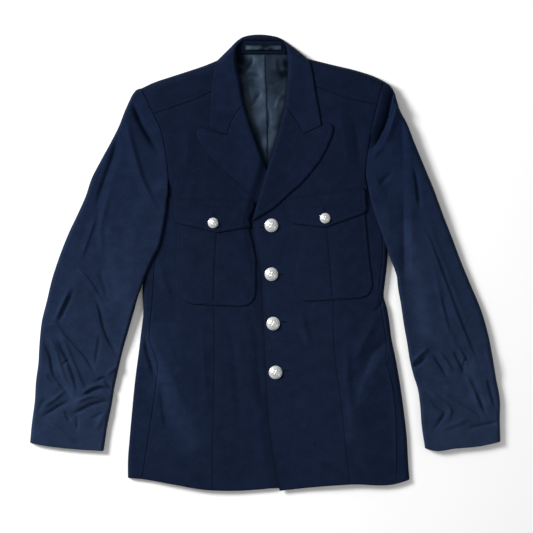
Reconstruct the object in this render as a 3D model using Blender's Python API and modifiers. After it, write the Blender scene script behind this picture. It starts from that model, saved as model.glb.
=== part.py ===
"""Dress uniform jacket, laid flat on its back with the wearer's left to +X and the collar to +Y.

The tables are in millimetres, measured on the laid garment from the middle of its bounding box.
Every piece of cloth is a wall on a height field: its flat outline is filled with an even net of
points, its outer face follows the form of the garment, and its inner face lies a cloth below.
Pieces that meet at a seam are cut from one net, and pieces that lie on a panel share its points.
"""
import math

import bmesh
import bpy
import numpy as np
from mathutils.geometry import delaunay_2d_cdt

OBJECT_NAME = "dress_uniform_jacket"
MM = 0.001

CLOTH = 2.0            # wool cloth with its interlining
FLAP_CLOTH = 1.8
POCKET_CLOTH = 1.5
LINING_CLOTH = 1.3
SEAM_GAP = 0.3         # between pieces that are sewn together
LAYER_GAP = 0.3        # between pieces that lie on each other
LOOSE_GAP = 0.8        # between layers that are not sewn together
FOLD_FOOT = 2.6        # a folded edge stands on this width
UNDER_INSET = 2.1      # the piece that lies inside a folded edge stops here
FOLD_RINGS = (0.9, FOLD_FOOT, 6.0)
EDGE_RISE = 0.5        # least thickness of a folded edge at its outline

BODY_NET = 24.0        # spacing of the net of points
SLEEVE_NET = 16.5
COLLAR_NET = 13.0
SMALL_NET = 12.0
LINE_STEP = 15.0       # spacing of the points along seams and edges
DETAIL_STEP = 8.0      # the same round the lapel's peak
DETAIL_LINES = ("gorge", "notch", "peak")

SIDE_FOLD_RADIUS = 7.0
SHOULDER_RADIUS = 15.0
SLEEVE_OUTER_RADIUS = 8.0
SLEEVE_INNER_RADIUS = 5.5
ROLL_RADIUS = 7.0
NECK_RADIUS = 12.0

# Outlines and seams of the wearer's right half, which shows on the left.
RIGHT = {
    "sleeve_outer": [(-402, -306), (-399, -274), (-394, -236), (-392, -202), (-388, -172),
                     (-386, -138), (-382, -100), (-373, -63), (-365, -29), (-353, 8), (-337, 49),
                     (-320, 85), (-307, 114), (-297, 144), (-281, 175), (-264, 206), (-249, 236),
                     (-241, 257), (-233, 275), (-227, 287), (-219, 296), (-212, 298)],
    "cuff": [(-402, -306), (-370, -312), (-324, -317), (-276, -320)],
    "sleeve_inner": [(-276, -320), (-269, -274), (-263, -245), (-257, -209), (-251, -182),
                     (-244, -151), (-234, -116), (-223, -78), (-212, -44), (-201, -14), (-191, 8),
                     (-181, 27), (-174, 54), (-169, 83), (-166, 110)],
    "armhole": [(-212, 298), (-201, 277), (-190, 253), (-179, 230), (-171, 196), (-166, 158),
                (-165, 133), (-166, 110)],
    "hook": [(-166, 110), (-171, 94), (-183, 82), (-201, 75)],
    "back_armhole": [(-208, 292), (-193, 235), (-186, 175), (-188, 124), (-201, 75)],
    "side_fold": [(-201, 75), (-205, 22), (-210, -46), (-209, -90), (-212, -114), (-216, -148),
                  (-223, -202), (-228, -253), (-232, -298), (-235, -338), (-235, -366)],
    "side_seam": [(-183, 82), (-184, 39), (-189, -8), (-192, -60), (-196, -105), (-197, -133),
                  (-190, -151), (-184, -172), (-186, -204), (-193, -257), (-202, -316),
                  (-210, -368)],
    "hem": [(-235, -366), (-210, -368), (-162, -376), (-105, -386), (-60, -388), (-14, -386),
            (33, -381)],
    "front_edge": [(40, 65), (36, -100), (35, -250), (33, -381)],
    "roll": [(-43, 311), (-40, 286), (-36, 269), (-26, 236), (-14, 201), (-6, 180), (3, 161),
             (20, 119), (40, 65)],
    "stand_side": [(-38, 379), (-48, 367), (-50, 356)],
    "neck_roll": [(-50, 356), (-48, 332), (-43, 311), (-40, 286), (-36, 269)],
    "shoulder": [(-212, 298), (-193, 307), (-161, 318), (-130, 328), (-101, 338), (-82, 346)],
    "under_collar": [(-82, 346), (-86, 335), (-89, 318), (-66, 312), (-43, 311)],
    "yoke_seam": [(-190, 253), (-157, 264), (-123, 276), (-93, 290), (-40, 312)],
    "gorge": [(-36, 269), (-47, 262), (-56, 249), (-61, 235), (-64, 217)],
    "notch": [(-64, 217), (-79, 221), (-95, 226)],
    "peak": [(-95, 226), (-108, 229), (-116, 226), (-117, 219), (-105, 194), (-84, 170),
             (-60, 147), (-39, 129), (-14, 106), (11, 87), (40, 65)],
    "pocket": [(-148, 100), (-22, 97), (-22, 90), (-29, 76), (-26, 52), (-21, 34), (-16, 6),
               (-16, -66), (-24, -75), (-148, -70), (-156, -60)],
    "pleat": [(-83, 48), (-86, 5), (-88, -62)],
    "flap": [(-156, 108), (-18, 105), (-20, 91), (-28, 75), (-25, 61), (-83, 51), (-157, 69)],
}

# The same for the wearer's left half, which laps over the right one.
LEFT = {
    "sleeve_outer": [(401, -304), (400, -267), (400, -231), (394, -199), (388, -162), (380, -121),
                     (368, -80), (351, -39), (334, 2), (319, 42), (303, 83), (288, 124),
                     (271, 165), (254, 206), (241, 239), (230, 259), (224, 277), (220, 291),
                     (213, 302), (202, 310)],
    "cuff": [(401, -304), (365, -312), (322, -316), (290, -320), (272, -316)],
    "sleeve_inner": [(272, -316), (266, -274), (264, -246), (260, -216), (252, -190), (246, -165),
                     (242, -139), (236, -105), (231, -71), (226, -42), (223, -19), (215, 0),
                     (207, 22), (196, 53), (185, 83), (178, 107), (174, 126)],
    "armhole": [(202, 310), (196, 292), (190, 269), (183, 241), (177, 209), (172, 175),
                (170, 150), (174, 126)],
    "hook": [(174, 126), (179, 107), (191, 92), (207, 85)],
    "back_armhole": [(200, 304), (186, 246), (181, 192), (188, 133), (207, 85)],
    "side_fold": [(207, 85), (209, 39), (208, 2), (204, -34), (202, -58), (207, -75), (211, -97),
                  (215, -128), (222, -162), (229, -202), (235, -243), (241, -294), (244, -345),
                  (246, -369)],
    "side_seam": [(191, 92), (199, 39), (198, -3), (194, -37), (194, -60), (198, -83),
                  (203, -114), (206, -138), (205, -165), (214, -196), (221, -240), (223, -284),
                  (224, -335), (223, -376)],
    "hem": [(246, -369), (223, -376), (145, -377), (101, -380), (59, -384), (24, -388)],
    "front_edge": [(-23, 71), (-20, 46), (-14, 10), (-8, -14), (-6, -49), (-4, -90), (-1, -158),
                   (1, -199), (5, -264), (11, -314), (20, -366), (24, -388)],
    "roll": [(37, 314), (35, 286), (34, 269), (28, 249), (24, 230), (17, 205), (5, 168),
             (-3, 141), (-12, 110), (-19, 87), (-23, 71)],
    "stand_side": [(26, 378), (34, 369), (37, 356)],
    "neck_roll": [(37, 356), (38, 335), (37, 314), (35, 286), (34, 269)],
    "shoulder": [(202, 310), (186, 318), (156, 328), (115, 338), (71, 349)],
    "under_collar": [(71, 349), (76, 337), (80, 321), (60, 315), (37, 314)],
    "yoke_seam": [(190, 269), (161, 274), (139, 279), (110, 290), (83, 300), (36, 315)],
    "gorge": [(34, 269), (43, 255), (55, 237), (65, 219)],
    "notch": [(65, 219), (79, 225), (95, 233)],
    "peak": [(95, 233), (103, 236), (110, 237), (115, 232), (115, 224), (108, 204), (95, 178),
             (79, 156), (59, 133), (38, 115), (11, 91), (-6, 81), (-23, 71)],
    "pocket": [(38, 97), (169, 117), (183, -44), (177, -56), (60, -66), (51, -56)],
    "pleat": [(104, 58), (109, 5), (114, -56)],
    "flap": [(29, 106), (169, 127), (173, 87), (101, 60), (36, 67)],
}

# The collar's outer edge from the right leaf's point round the back neck to the left one.
COLLAR_RIGHT_EDGE = [(-95, 226), (-94, 246), (-93, 270), (-92, 294), (-89, 318), (-86, 335),
                     (-82, 346)]
COLLAR_BACK_EDGE = [(-82, 346), (-69, 359), (-59, 369), (-49, 379), (-38, 386), (-26, 389),
                    (-6, 390), (11, 388), (23, 385), (33, 379), (47, 369), (60, 359), (71, 349)]
COLLAR_LEFT_EDGE = [(71, 349), (76, 337), (80, 321), (83, 303), (87, 279), (91, 260), (95, 233)]
BACK_HEM = [(-230, -363.5), (-210, -366), (-162, -374), (-105, -383), (-60, -385), (0, -385),
            (60, -382), (101, -378), (145, -375), (223, -374), (241, -366.5)]
BACK_NECK = [(-80, 341), (-45, 337), (0, 335), (38, 338), (69, 344)]
LINING = [(-56, 355.7), (43, 355.7), (52, 335), (50, 268), (38, 205), (14, 138), (-8, 138),
          (-40, 205), (-54, 268), (-62, 335)]
LINING_PLEAT = [(-1, 355), (0, 320), (2, 277), (3, 226), (3, 176)]
HANGER_LOOP = {"left": 28.0, "right": -35.0, "low": 362.0, "high": 371.0, "arch": 1.6}

# Height of the outer face over the surface, along the length.
BODY_HEIGHTS = [
    # place, at the front edge, at mid chest
    (-390, 9.0, 11.5),
    (-200, 10.0, 13.5),
    (0, 11.0, 15.0),
    (100, 12.0, 17.0),
    (200, 13.0, 19.5),
    (300, 16.0, 23.0),
    (335, 17.0, 24.0),
    (352, 13.0, 24.0),
    (368, 8.0, 20.0),
    (390, 5.0, 20.0),
]
SLEEVE_HEIGHTS = [
    # place, plateau
    (-320, 11.0),
    (-150, 12.0),
    (0, 13.0),
    (100, 16.5),
    (200, 19.0),
    (300, 22.5),
]
ROLL_RISES = [
    # place, how far the lapel or collar stands up at its roll line
    (60, 1.5),
    (150, 3.5),
    (270, 5.5),
    (340, 6.5),
    (390, 5.0),
]
CENTRE_HALF_WIDTH = 20.0
CENTRE_TO_CHEST = 110.0
SIDE_SLOPE_WIDTH = 80.0
SIDE_SLOPE_SHARE = 0.25
LAP_RAMP = 13.0
LAP_MARGIN = 1.0
LAP_DEPTH = 2.7
LAPEL_LAP_DEPTH = 5.2
LAP_DEPTH_PLACES = (15.0, 62.0)
OVERHANG_REACH = 14.0      # how far beside the body the under sleeve starts to climb on it
OVERHANG_ROOM = 6.6        # height of the sleeve over its under sheet where it lies on the body
ROLL_SPREAD = 24.0
STAND_HEIGHTS = [(357, 4.2), (379, 9.5)]
ROLL_FLOORS = [
    # place, height that the roll line comes down to inside the neck
    (270, 0.0),
    (345, 5.0),
    (365, 5.0),
    (379, 9.0),
]
NECK_FLOOR_START = 285.0
LINING_PLEAT_HEIGHT = 3.0
POCKET_PLEAT_DEPTH = 0.9
POCKET_PLEAT_WIDTH = 4.0

# Main folds: half width, height (a trough is negative) and the line that each one follows.
RIGHT_SLEEVE_FOLDS = [
    (9, -3.5, [(-224, 269), (-218, 248), (-207, 228), (-196, 211), (-182, 187)]),
    (12, 2.5, [(-235, 246), (-229, 201), (-213, 150), (-196, 116)]),
    (11, -2.2, [(-254, 209), (-259, 167), (-278, 124), (-290, 82), (-307, 31)]),
    (8, -2.6, [(-311, -27), (-276, -68)]),
    (9, -3.2, [(-290, -58), (-276, -104), (-251, -155)]),
    (10, 2.6, [(-322, -31), (-359, -104)]),
    (9, -2.2, [(-353, -114), (-303, -158), (-281, -196)]),
    (9, -2.4, [(-381, -120), (-359, -190), (-328, -231)]),
    (9, -2.2, [(-328, -258), (-300, -245), (-265, -237)]),
    (8, -1.8, [(-377, -260), (-349, -242), (-333, -236)]),
]
LEFT_SLEEVE_FOLDS = [
    (9, -4.5, [(217, 296), (213, 270), (206, 241), (197, 216), (186, 198), (176, 191)]),
    (13, 2.5, [(227, 260), (232, 209), (237, 158), (235, 107), (237, 39)]),
    (9, -3.2, [(263, 82), (276, 39), (293, 5), (303, -31), (320, -76), (339, -126), (358, -168),
               (382, -221)]),
    (12, 2.2, [(286, -12), (298, -68), (314, -122), (331, -163)]),
    (9, -2.4, [(284, -153), (312, -196)]),
    (8, -2.0, [(249, -182), (273, -163)]),
    (9, -2.4, [(276, -229), (303, -256), (290, -283)]),
    (9, -2.2, [(301, -218), (361, -253), (369, -275)]),
]
BODY_FOLDS = [
    (10, -2.2, [(-206, -128), (-198, -156), (-186, -196)]),
    (24, 1.6, [(-137, -168), (-137, -284)]),
    (10, -2.2, [(203, -134), (176, -158)]),
    (14, 1.2, [(140, -158), (145, -284)]),
]

BUTTON_SIZES = {
    # outer diameter, height of the dome, height of the rim
    "front": (24.7, 7.5, 1.6),
    "pocket": (19.0, 6.0, 1.4),
}
BUTTONS = {
    "front_button_1": ("front", 10, 64),
    "front_button_2": ("front", 10, -19),
    "front_button_3": ("front", 13, -103),
    "front_button_4": ("front", 17, -186),
    "pocket_button_right": ("pocket", -89, 68),
    "pocket_button_left": ("pocket", 101, 76),
}

FINISHES = {
    # red, green, blue, roughness, metallic
    "navy_wool": (0.010, 0.016, 0.040, 0.90, 0.0),
    "lining_satin": (0.030, 0.036, 0.040, 0.45, 0.0),
    "loop_satin": (0.075, 0.085, 0.095, 0.40, 0.0),
    "silver": (0.75, 0.75, 0.76, 0.18, 1.0),
}


def clear_scene():
    for item in list(bpy.data.objects):
        bpy.data.objects.remove(item, do_unlink=True)


def make_collection():
    collection = bpy.data.collections.new(OBJECT_NAME)
    bpy.context.scene.collection.children.link(collection)
    return collection


def make_material(name):
    red, green, blue, roughness, metallic = FINISHES[name]
    material = bpy.data.materials.new(name)
    material.use_nodes = True
    shader = material.node_tree.nodes["Principled BSDF"]
    shader.inputs["Base Color"].default_value = (red, green, blue, 1.0)
    shader.inputs["Roughness"].default_value = roughness
    shader.inputs["Metallic"].default_value = metallic
    return material


def smooth_line(points, step=LINE_STEP):
    """Samples of a smooth curve through hand-placed points, evenly spaced."""
    knots = np.array(points, float)
    along = np.concatenate([[0.0], np.cumsum(np.linalg.norm(np.diff(knots, axis=0), axis=1))])
    if len(knots) > 2:
        tangents = np.gradient(knots, along, axis=0)
    else:
        tangents = np.repeat(np.diff(knots, axis=0) / along[-1], 2, axis=0)
    count = max(2, int(round(along[-1] / step)) + 1)
    samples = np.linspace(0.0, along[-1], count)
    span = np.clip(np.searchsorted(along, samples, side="right") - 1, 0, len(knots) - 2)
    length = along[span + 1] - along[span]
    t = ((samples - along[span]) / length)[:, None]
    start = knots[span]
    end = knots[span + 1]
    leave = tangents[span] * length[:, None]
    arrive = tangents[span + 1] * length[:, None]
    return ((2 * t**3 - 3 * t**2 + 1) * start + (t**3 - 2 * t**2 + t) * leave
            + (3 * t**2 - 2 * t**3) * end + (t**3 - t**2) * arrive)


def straight_line(points, step=LINE_STEP):
    """Samples of a line with sharp corners at its points."""
    parts = [smooth_line(points[i:i + 2], step) for i in range(len(points) - 1)]
    return join_lines(*parts)


def join_lines(*lines):
    """One line from several that meet end to start."""
    joined = [lines[0]]
    for line in lines[1:]:
        joined.append(line[1:] if np.allclose(joined[-1][-1], line[0]) else line)
    return np.vstack(joined)


def close_ring(*lines):
    """A ring whose first point is not repeated at its end."""
    ring = join_lines(*lines)
    return ring[:-1] if np.allclose(ring[0], ring[-1]) else ring


def edges_of(line):
    return line[:-1], line[1:]


def distance_to(points, line):
    """Distance of each point to a line."""
    start, end = edges_of(line)
    run = end - start
    away = points[:, None, :] - start[None, :, :]
    share = np.clip((away * run).sum(2) / np.maximum((run * run).sum(1), 1e-12), 0.0, 1.0)
    return np.linalg.norm(away - share[..., None] * run, axis=2).min(1)


def inside(points, ring):
    """Which points lie in a ring."""
    start = ring
    end = np.roll(ring, -1, axis=0)
    x = points[:, 0][:, None]
    y = points[:, 1][:, None]
    rise = end[:, 1] - start[:, 1]
    rise = np.where(rise == 0.0, 1e-12, rise)
    crossing = start[:, 0] + (y - start[:, 1]) * (end[:, 0] - start[:, 0]) / rise
    hits = ((start[:, 1] > y) != (end[:, 1] > y)) & (x < crossing)
    return hits.sum(1) % 2 == 1


def depth_in(points, ring):
    """Distance to a ring, positive inside it."""
    closed = np.vstack([ring, ring[:1]])
    return np.where(inside(points, ring), 1.0, -1.0) * distance_to(points, closed)


def beside(line, offset):
    """A line moved sideways, to its left for a positive offset."""
    run = np.gradient(line, axis=0)
    run /= np.linalg.norm(run, axis=1)[:, None]
    return line + offset * np.column_stack([-run[:, 1], run[:, 0]])


def ramp(value):
    """Smooth step from 0 to 1."""
    t = np.clip(value, 0.0, 1.0)
    return t * t * (3.0 - 2.0 * t)


def quarter_round(value):
    """Height of a round edge as its depth goes from 0 to 1."""
    return np.sqrt(1.0 - (1.0 - np.clip(value, 0.0, 1.0))**2)


def table_value(table, column, place):
    places = [row[0] for row in table]
    values = [row[column] for row in table]
    return np.interp(place, places, values)


def fold_heights(points, folds):
    """Sum of soft troughs and ridges that fade out at their ends."""
    total = np.zeros(len(points))
    for half_width, height, line in folds:
        total += height * np.exp(-(distance_to(points, smooth_line(line)) / half_width)**2)
    return total


class Net:
    """A flat outline filled with an even net of points, cut along its seam lines."""

    def __init__(self, ring, lines, spacing):
        loops = [np.vstack([ring, ring[:1]])] + lines
        low = ring.min(0)
        high = ring.max(0)
        row_step = spacing * math.sqrt(3.0) / 2.0
        rows = np.arange(math.floor(low[1] / row_step), math.ceil(high[1] / row_step) + 1)
        columns = np.arange(math.floor(low[0] / spacing) - 1, math.ceil(high[0] / spacing) + 1)
        lattice = np.array([((column + 0.5 * (row % 2)) * spacing, row * row_step)
                            for row in rows for column in columns])
        free = inside(lattice, ring)
        for loop in loops:
            free &= distance_to(lattice, loop) > 0.55 * spacing
        points = []
        edges = []
        for loop in loops:
            first = len(points)
            points.extend(loop.tolist())
            edges.extend((first + i, first + i + 1) for i in range(len(loop) - 1))
        points.extend(lattice[free].tolist())
        made = delaunay_2d_cdt(points, edges, [], 0, 1e-3)
        self.points = np.array([tuple(point) for point in made[0]])
        self.faces = np.array([face for face in made[2]])
        self.ring = ring

    def piece(self, ring=None, holes=()):
        """Points and triangles inside a ring, drawn in by half a seam's gap."""
        centres = self.points[self.faces].mean(1)
        kept = inside(centres, self.ring)
        if ring is not None:
            kept &= inside(centres, ring)
        for hole in holes:
            kept &= ~inside(centres, hole)
        used, faces = np.unique(self.faces[kept], return_inverse=True)
        points = self.points[used]
        faces = faces.reshape(-1, 3)
        return points, draw_in(points, faces, SEAM_GAP / 2.0), faces


def draw_in(points, faces, gap):
    """Move the border of a flat patch inwards."""
    run = {}
    for face in faces:
        for start, end in zip(face, np.roll(face, -1)):
            run[(int(start), int(end))] = True
    normals = {}
    for start, end in run:
        if (end, start) in run:
            continue
        along = points[end] - points[start]
        along = along / np.linalg.norm(along)
        inward = np.array([-along[1], along[0]])
        normals.setdefault(start, []).append(inward)
        normals.setdefault(end, []).append(inward)
    moved = points.copy()
    for index, found in normals.items():
        total = np.sum(found, axis=0)
        spread = max(0.35, 1.0 + float(np.dot(found[0], found[-1])))
        moved[index] += gap * total / (spread if len(found) > 1 else 1.0)
    return moved


def build_cloth(collection, material, name, patch, lower, upper):
    """A closed wall of cloth between two height arrays over a flat patch."""
    mesh = bmesh.new()
    top = mesh.verts.layers.float.new("top")
    verts = []
    for (x, y), low, high in zip(patch[1], lower, upper):
        vert = mesh.verts.new((x * MM, y * MM, low * MM))
        vert[top] = high * MM
        verts.append(vert)
    for face in patch[2]:
        mesh.faces.new([verts[i] for i in face])
    made = bmesh.ops.extrude_face_region(mesh, geom=mesh.faces[:], use_keep_orig=True)
    for item in made["geom"]:
        if isinstance(item, bmesh.types.BMVert):
            item.co.z = item[top]
    bmesh.ops.recalc_face_normals(mesh, faces=mesh.faces[:])
    if mesh.calc_volume(signed=True) < 0.0:
        bmesh.ops.reverse_faces(mesh, faces=mesh.faces[:])
    data = bpy.data.meshes.new(name)
    mesh.to_mesh(data)
    mesh.free()
    data.materials.append(material)
    item = bpy.data.objects.new(name, data)
    collection.objects.link(item)
    return item


def lean(field, points, reach=0.5):
    """How much steeper than flat a height field is, as a length ratio."""
    across = field(points + (reach, 0.0)) - field(points - (reach, 0.0))
    along = field(points + (0.0, reach)) - field(points - (0.0, reach))
    return np.minimum(np.sqrt(1.0 + (across**2 + along**2) / (4.0 * reach**2)), 3.5)


def wall_below(field, points, floor, cloth=CLOTH):
    """Outer and inner faces of cloth whose outer face follows a field above a floor."""
    upper = np.maximum(field(points), floor + EDGE_RISE)
    lower = np.maximum(floor, upper - cloth * lean(field, points))
    return lower, upper


class Half:
    """The cut lines and height fields of one half of the jacket."""

    def __init__(self, table, hand):
        self.hand = hand
        line = {key: smooth_line(points, DETAIL_STEP if key in DETAIL_LINES else LINE_STEP)
                for key, points in table.items()}
        self.pocket = close_ring(straight_line(table["pocket"] + table["pocket"][:1]))
        self.flap = close_ring(straight_line(table["flap"] + table["flap"][:1]))
        gorge_foot = int(np.argmin(np.linalg.norm(line["roll"] - line["gorge"][0], axis=1)))
        line["roll"][gorge_foot] = line["gorge"][0]
        self.line = line
        self.body = close_ring(line["hem"], line["front_edge"][::-1], line["roll"][::-1],
                               line["under_collar"][::-1], line["shoulder"][::-1],
                               line["armhole"], line["hook"], line["side_fold"])
        self.lapel = close_ring(line["roll"][gorge_foot:], line["peak"][::-1],
                                line["notch"][::-1], line["gorge"][::-1])
        self.sleeve = close_ring(line["sleeve_outer"], line["armhole"],
                                 line["sleeve_inner"][::-1], line["cuff"][::-1])
        middle = np.array([(hand * 90.0, 60.0), (hand * 90.0, -370.0)])
        self.side_body = close_ring(line["hook"][::-1], middle, line["side_fold"][::-1])
        self.yoke = self.zone("yoke_seam", [(hand * 20.0, 420.0), (hand * 280.0, 420.0)])
        self.side = self.zone("side_seam", [(hand * 320.0, -420.0), (hand * 320.0, 82.0)])
        far = hand * 500.0
        self.beside_body = np.vstack([reach_past(line["side_fold"], 40.0),
                                      [(far, -420.0), (far, 115.0)]])
        roll = reach_past(line["roll"])
        foot = reach_past(self.within("roll", self.body, FOLD_FOOT))
        self.roll_strip = np.vstack([roll, foot[::-1]])

    def within(self, key, ring, depth):
        """A line moved into the ring that it borders."""
        line = self.line[key]
        middle = beside(line, 3.0)[len(line) // 2]
        side = 1.0 if inside(middle[None], ring)[0] else -1.0
        return beside(line, side * depth)

    def zone(self, key, corners):
        """The region on the outer side of a seam."""
        return np.vstack([reach_past(self.line[key]), corners])

    def fold_lines(self, key, ring):
        return [self.within(key, ring, depth) for depth in FOLD_RINGS]

    def plateau(self, points):
        """Outer face of the body before its edges are rounded."""
        fold = distance_to(points, self.line["side_fold"])
        fold = np.where(inside(points, self.beside_body), 0.0, fold)
        share = 1.0 - SIDE_SLOPE_SHARE * (1.0 - ramp(fold / SIDE_SLOPE_WIDTH))
        return chest_height(points) * share

    def body_face(self, points):
        """Outer face of the front, the yoke and the side body."""
        height = self.plateau(points) + fold_heights(points, BODY_FOLDS)
        height = height * quarter_round(distance_to(points, self.line["side_fold"])
                                        / SIDE_FOLD_RADIUS)
        height = height * quarter_round(distance_to(points, self.line["shoulder"])
                                        / SHOULDER_RADIUS)
        return height - self.lap(points)

    def lap(self, points):
        """How far this half dips to pass under the other one."""
        return np.zeros(len(points))

    def lap_lines(self):
        return []

    def roll_rise(self, points):
        rise = table_value(ROLL_RISES, 1, points[:, 1])
        return rise * np.exp(-(distance_to(points, self.line["roll"]) / ROLL_SPREAD)**2)

    def lapel_face(self, points):
        """Outer face of the lapel, rounded down over the front's edge at the roll line."""
        face = self.body_face(points)
        foot = face - CLOTH
        height = face + LAYER_GAP + CLOTH + self.roll_rise(points)
        rounded = quarter_round(distance_to(points, self.line["roll"]) / ROLL_RADIUS)
        return foot + (height - foot) * rounded

    def lapel_floor(self, points):
        face = self.body_face(points)
        at_roll = distance_to(points, self.line["roll"]) < FOLD_RINGS[0] + LAYER_GAP
        return np.where(at_roll, face - CLOTH, face + LAYER_GAP)

    def climb(self, points, spread=0.0):
        """Height of the body's side under the sleeve, spread a little beyond its outline."""
        depth = depth_in(points, self.side_body) + OVERHANG_REACH + spread
        return (self.plateau(points) + LOOSE_GAP) * quarter_round(depth / SIDE_FOLD_RADIUS)

    def climb_lines(self):
        """Lines that keep the net's points where the under sleeve climbs on the body."""
        edge = join_lines(self.line["hook"], self.line["side_fold"])
        side = -1.0 if inside(beside(edge, 3.0)[len(edge) // 2][None], self.body)[0] else 1.0
        depths = (OVERHANG_REACH, OVERHANG_REACH - 2.0, OVERHANG_REACH - SIDE_FOLD_RADIUS)
        return [beside(edge, side * depth) for depth in depths]

    def sleeve_face(self, points, folds):
        """Outer face of the top sleeve."""
        floor = self.climb(points)
        wide = self.climb(points, SLEEVE_OUTER_RADIUS)
        height = table_value(SLEEVE_HEIGHTS, 1, points[:, 1]) + fold_heights(points, folds)
        height = np.maximum(height, wide + OVERHANG_ROOM * ramp(wide / 3.0))
        outer = quarter_round(distance_to(points, self.line["sleeve_outer"])
                              / SLEEVE_OUTER_RADIUS)
        inner = quarter_round(distance_to(points, self.line["sleeve_inner"])
                              / SLEEVE_INNER_RADIUS)
        return floor + (height - floor) * outer * inner


class LappedHalf(Half):
    """The wearer's right half, which passes under the left one."""

    def __init__(self, table, hand, over):
        super().__init__(table, hand)
        self.over = over

    def covered(self, points):
        depth = depth_in(points, self.over.body)
        return ramp((depth + LAP_RAMP) / (LAP_RAMP - LAP_MARGIN))

    def lap_lines(self):
        """Lines that keep the net's points where this half dips under the other one."""
        edge = join_lines(self.over.line["roll"], self.over.line["front_edge"])
        side = -1.0 if inside(beside(edge, 3.0)[len(edge) // 2][None], self.over.body)[0] else 1.0
        return [beside(edge, side * LAP_MARGIN), beside(edge, side * LAP_RAMP)]

    def lap(self, points):
        depth = np.interp(points[:, 1], LAP_DEPTH_PLACES, (LAP_DEPTH, LAPEL_LAP_DEPTH))
        return depth * self.covered(points)

    def roll_rise(self, points):
        return super().roll_rise(points) * (1.0 - self.covered(points))


def reach_past(line, length=4.0):
    """A line made a little longer at both ends."""
    start = line[0] - (line[1] - line[0]) / np.linalg.norm(line[1] - line[0]) * length
    end = line[-1] + (line[-1] - line[-2]) / np.linalg.norm(line[-1] - line[-2]) * length
    return np.vstack([start, line, end])


def chest_height(points):
    """Height of the body from the front edge out to the chest, along its length."""
    centre = table_value(BODY_HEIGHTS, 1, points[:, 1])
    chest = table_value(BODY_HEIGHTS, 2, points[:, 1])
    return centre + (chest - centre) * ramp((np.abs(points[:, 0]) - CENTRE_HALF_WIDTH)
                                            / CENTRE_TO_CHEST)


def build_body_half(collection, cloth, half, name):
    """Front, yoke, side body, lapel, pocket and flap, all cut from one net."""
    line = half.line
    pleat = line["pleat"]
    lines = [reach_past(line["side_seam"]), reach_past(line["yoke_seam"]),
             np.vstack([half.lapel, half.lapel[:1]]), np.vstack([half.pocket, half.pocket[:1]]),
             np.vstack([half.flap, half.flap[:1]]), beside(pleat, POCKET_PLEAT_WIDTH), pleat,
             beside(pleat, -POCKET_PLEAT_WIDTH)]
    lines += half.fold_lines("side_fold", half.body) + half.fold_lines("shoulder", half.body)
    lines += [reach_past(row) for row in half.fold_lines("roll", half.body)]
    lines += half.lap_lines()
    net = Net(half.body, lines, BODY_NET)

    def add(piece, patch, floor, field, thickness=CLOTH):
        lower, upper = wall_below(field, patch[0], floor(patch[0]), thickness)
        return build_cloth(collection, cloth, piece + "_" + name, patch, lower, upper)

    def nothing(points):
        return np.zeros(len(points))

    add("front", net.piece(holes=[half.yoke, half.side, half.roll_strip]), nothing,
        half.body_face)
    add("yoke", net.piece(half.yoke, holes=[half.roll_strip]), nothing, half.body_face)
    add("side", net.piece(half.side), nothing, half.body_face)
    add("lapel", net.piece(half.lapel), half.lapel_floor, half.lapel_face)

    patch = net.piece(half.pocket)
    lower = half.body_face(patch[0]) + LAYER_GAP
    groove = POCKET_PLEAT_DEPTH * (distance_to(patch[0], pleat) < 0.5 * POCKET_PLEAT_WIDTH)
    build_cloth(collection, cloth, "pocket_" + name, patch, lower, lower + POCKET_CLOTH - groove)
    patch = net.piece(half.flap)
    lower = half.body_face(patch[0]) + 2 * LAYER_GAP + POCKET_CLOTH
    build_cloth(collection, cloth, "flap_" + name, patch, lower, lower + FLAP_CLOTH)


def build_sleeve(collection, cloth, half, folds, name):
    """Top sleeve and, inside its folded edges, the under sleeve that lies on the surface."""
    line = half.line

    def face(points):
        return half.sleeve_face(points, folds)

    lines = half.fold_lines("sleeve_outer", half.sleeve)
    lines += half.fold_lines("sleeve_inner", half.sleeve)
    patch = Net(half.sleeve, lines, SLEEVE_NET).piece()
    lower, upper = wall_below(face, patch[0], half.climb(patch[0]))
    build_cloth(collection, cloth, "sleeve_" + name + "_top", patch, lower, upper)

    outer = half.within("sleeve_outer", half.sleeve, UNDER_INSET)
    inner = half.within("sleeve_inner", half.sleeve, UNDER_INSET)
    hook = line["hook"]
    clear_hook = hook[distance_to(hook, line["sleeve_inner"]) > 2.0 * UNDER_INSET]
    clear_inner = inner[distance_to(inner, hook) > UNDER_INSET]
    ring = close_ring(outer, line["back_armhole"], clear_hook[::-1], clear_inner[::-1],
                      line["cuff"][1:-1][::-1])
    patch = Net(ring, half.climb_lines(), 2.0 * SLEEVE_NET).piece()
    lower = half.climb(patch[0])
    build_cloth(collection, cloth, "sleeve_" + name + "_under", patch, lower, lower + CLOTH)


def build_back(collection, cloth, right, left):
    """The back, which lies on the surface inside the folded sides and shoulders."""
    ring = close_ring(
        right.within("side_fold", right.body, UNDER_INSET)[1:-1][::-1],
        right.line["back_armhole"][:-1][::-1],
        right.within("shoulder", right.body, UNDER_INSET)[1:-1],
        smooth_line(BACK_NECK),
        left.within("shoulder", left.body, UNDER_INSET)[1:-1][::-1],
        left.line["back_armhole"][:-1],
        left.within("side_fold", left.body, UNDER_INSET)[1:-1],
        smooth_line(BACK_HEM)[::-1])
    patch = Net(ring, [], 3.0 * BODY_NET).piece()
    flat = np.zeros(len(patch[0]))
    build_cloth(collection, cloth, "back", patch, flat, flat + CLOTH)


def stand_line(right, left):
    """The fold of the collar over its stand at the back neck, from right to left."""
    top = straight_line([right.line["stand_side"][0], left.line["stand_side"][0]])
    return join_lines(right.line["stand_side"][::-1], top, left.line["stand_side"])


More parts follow.
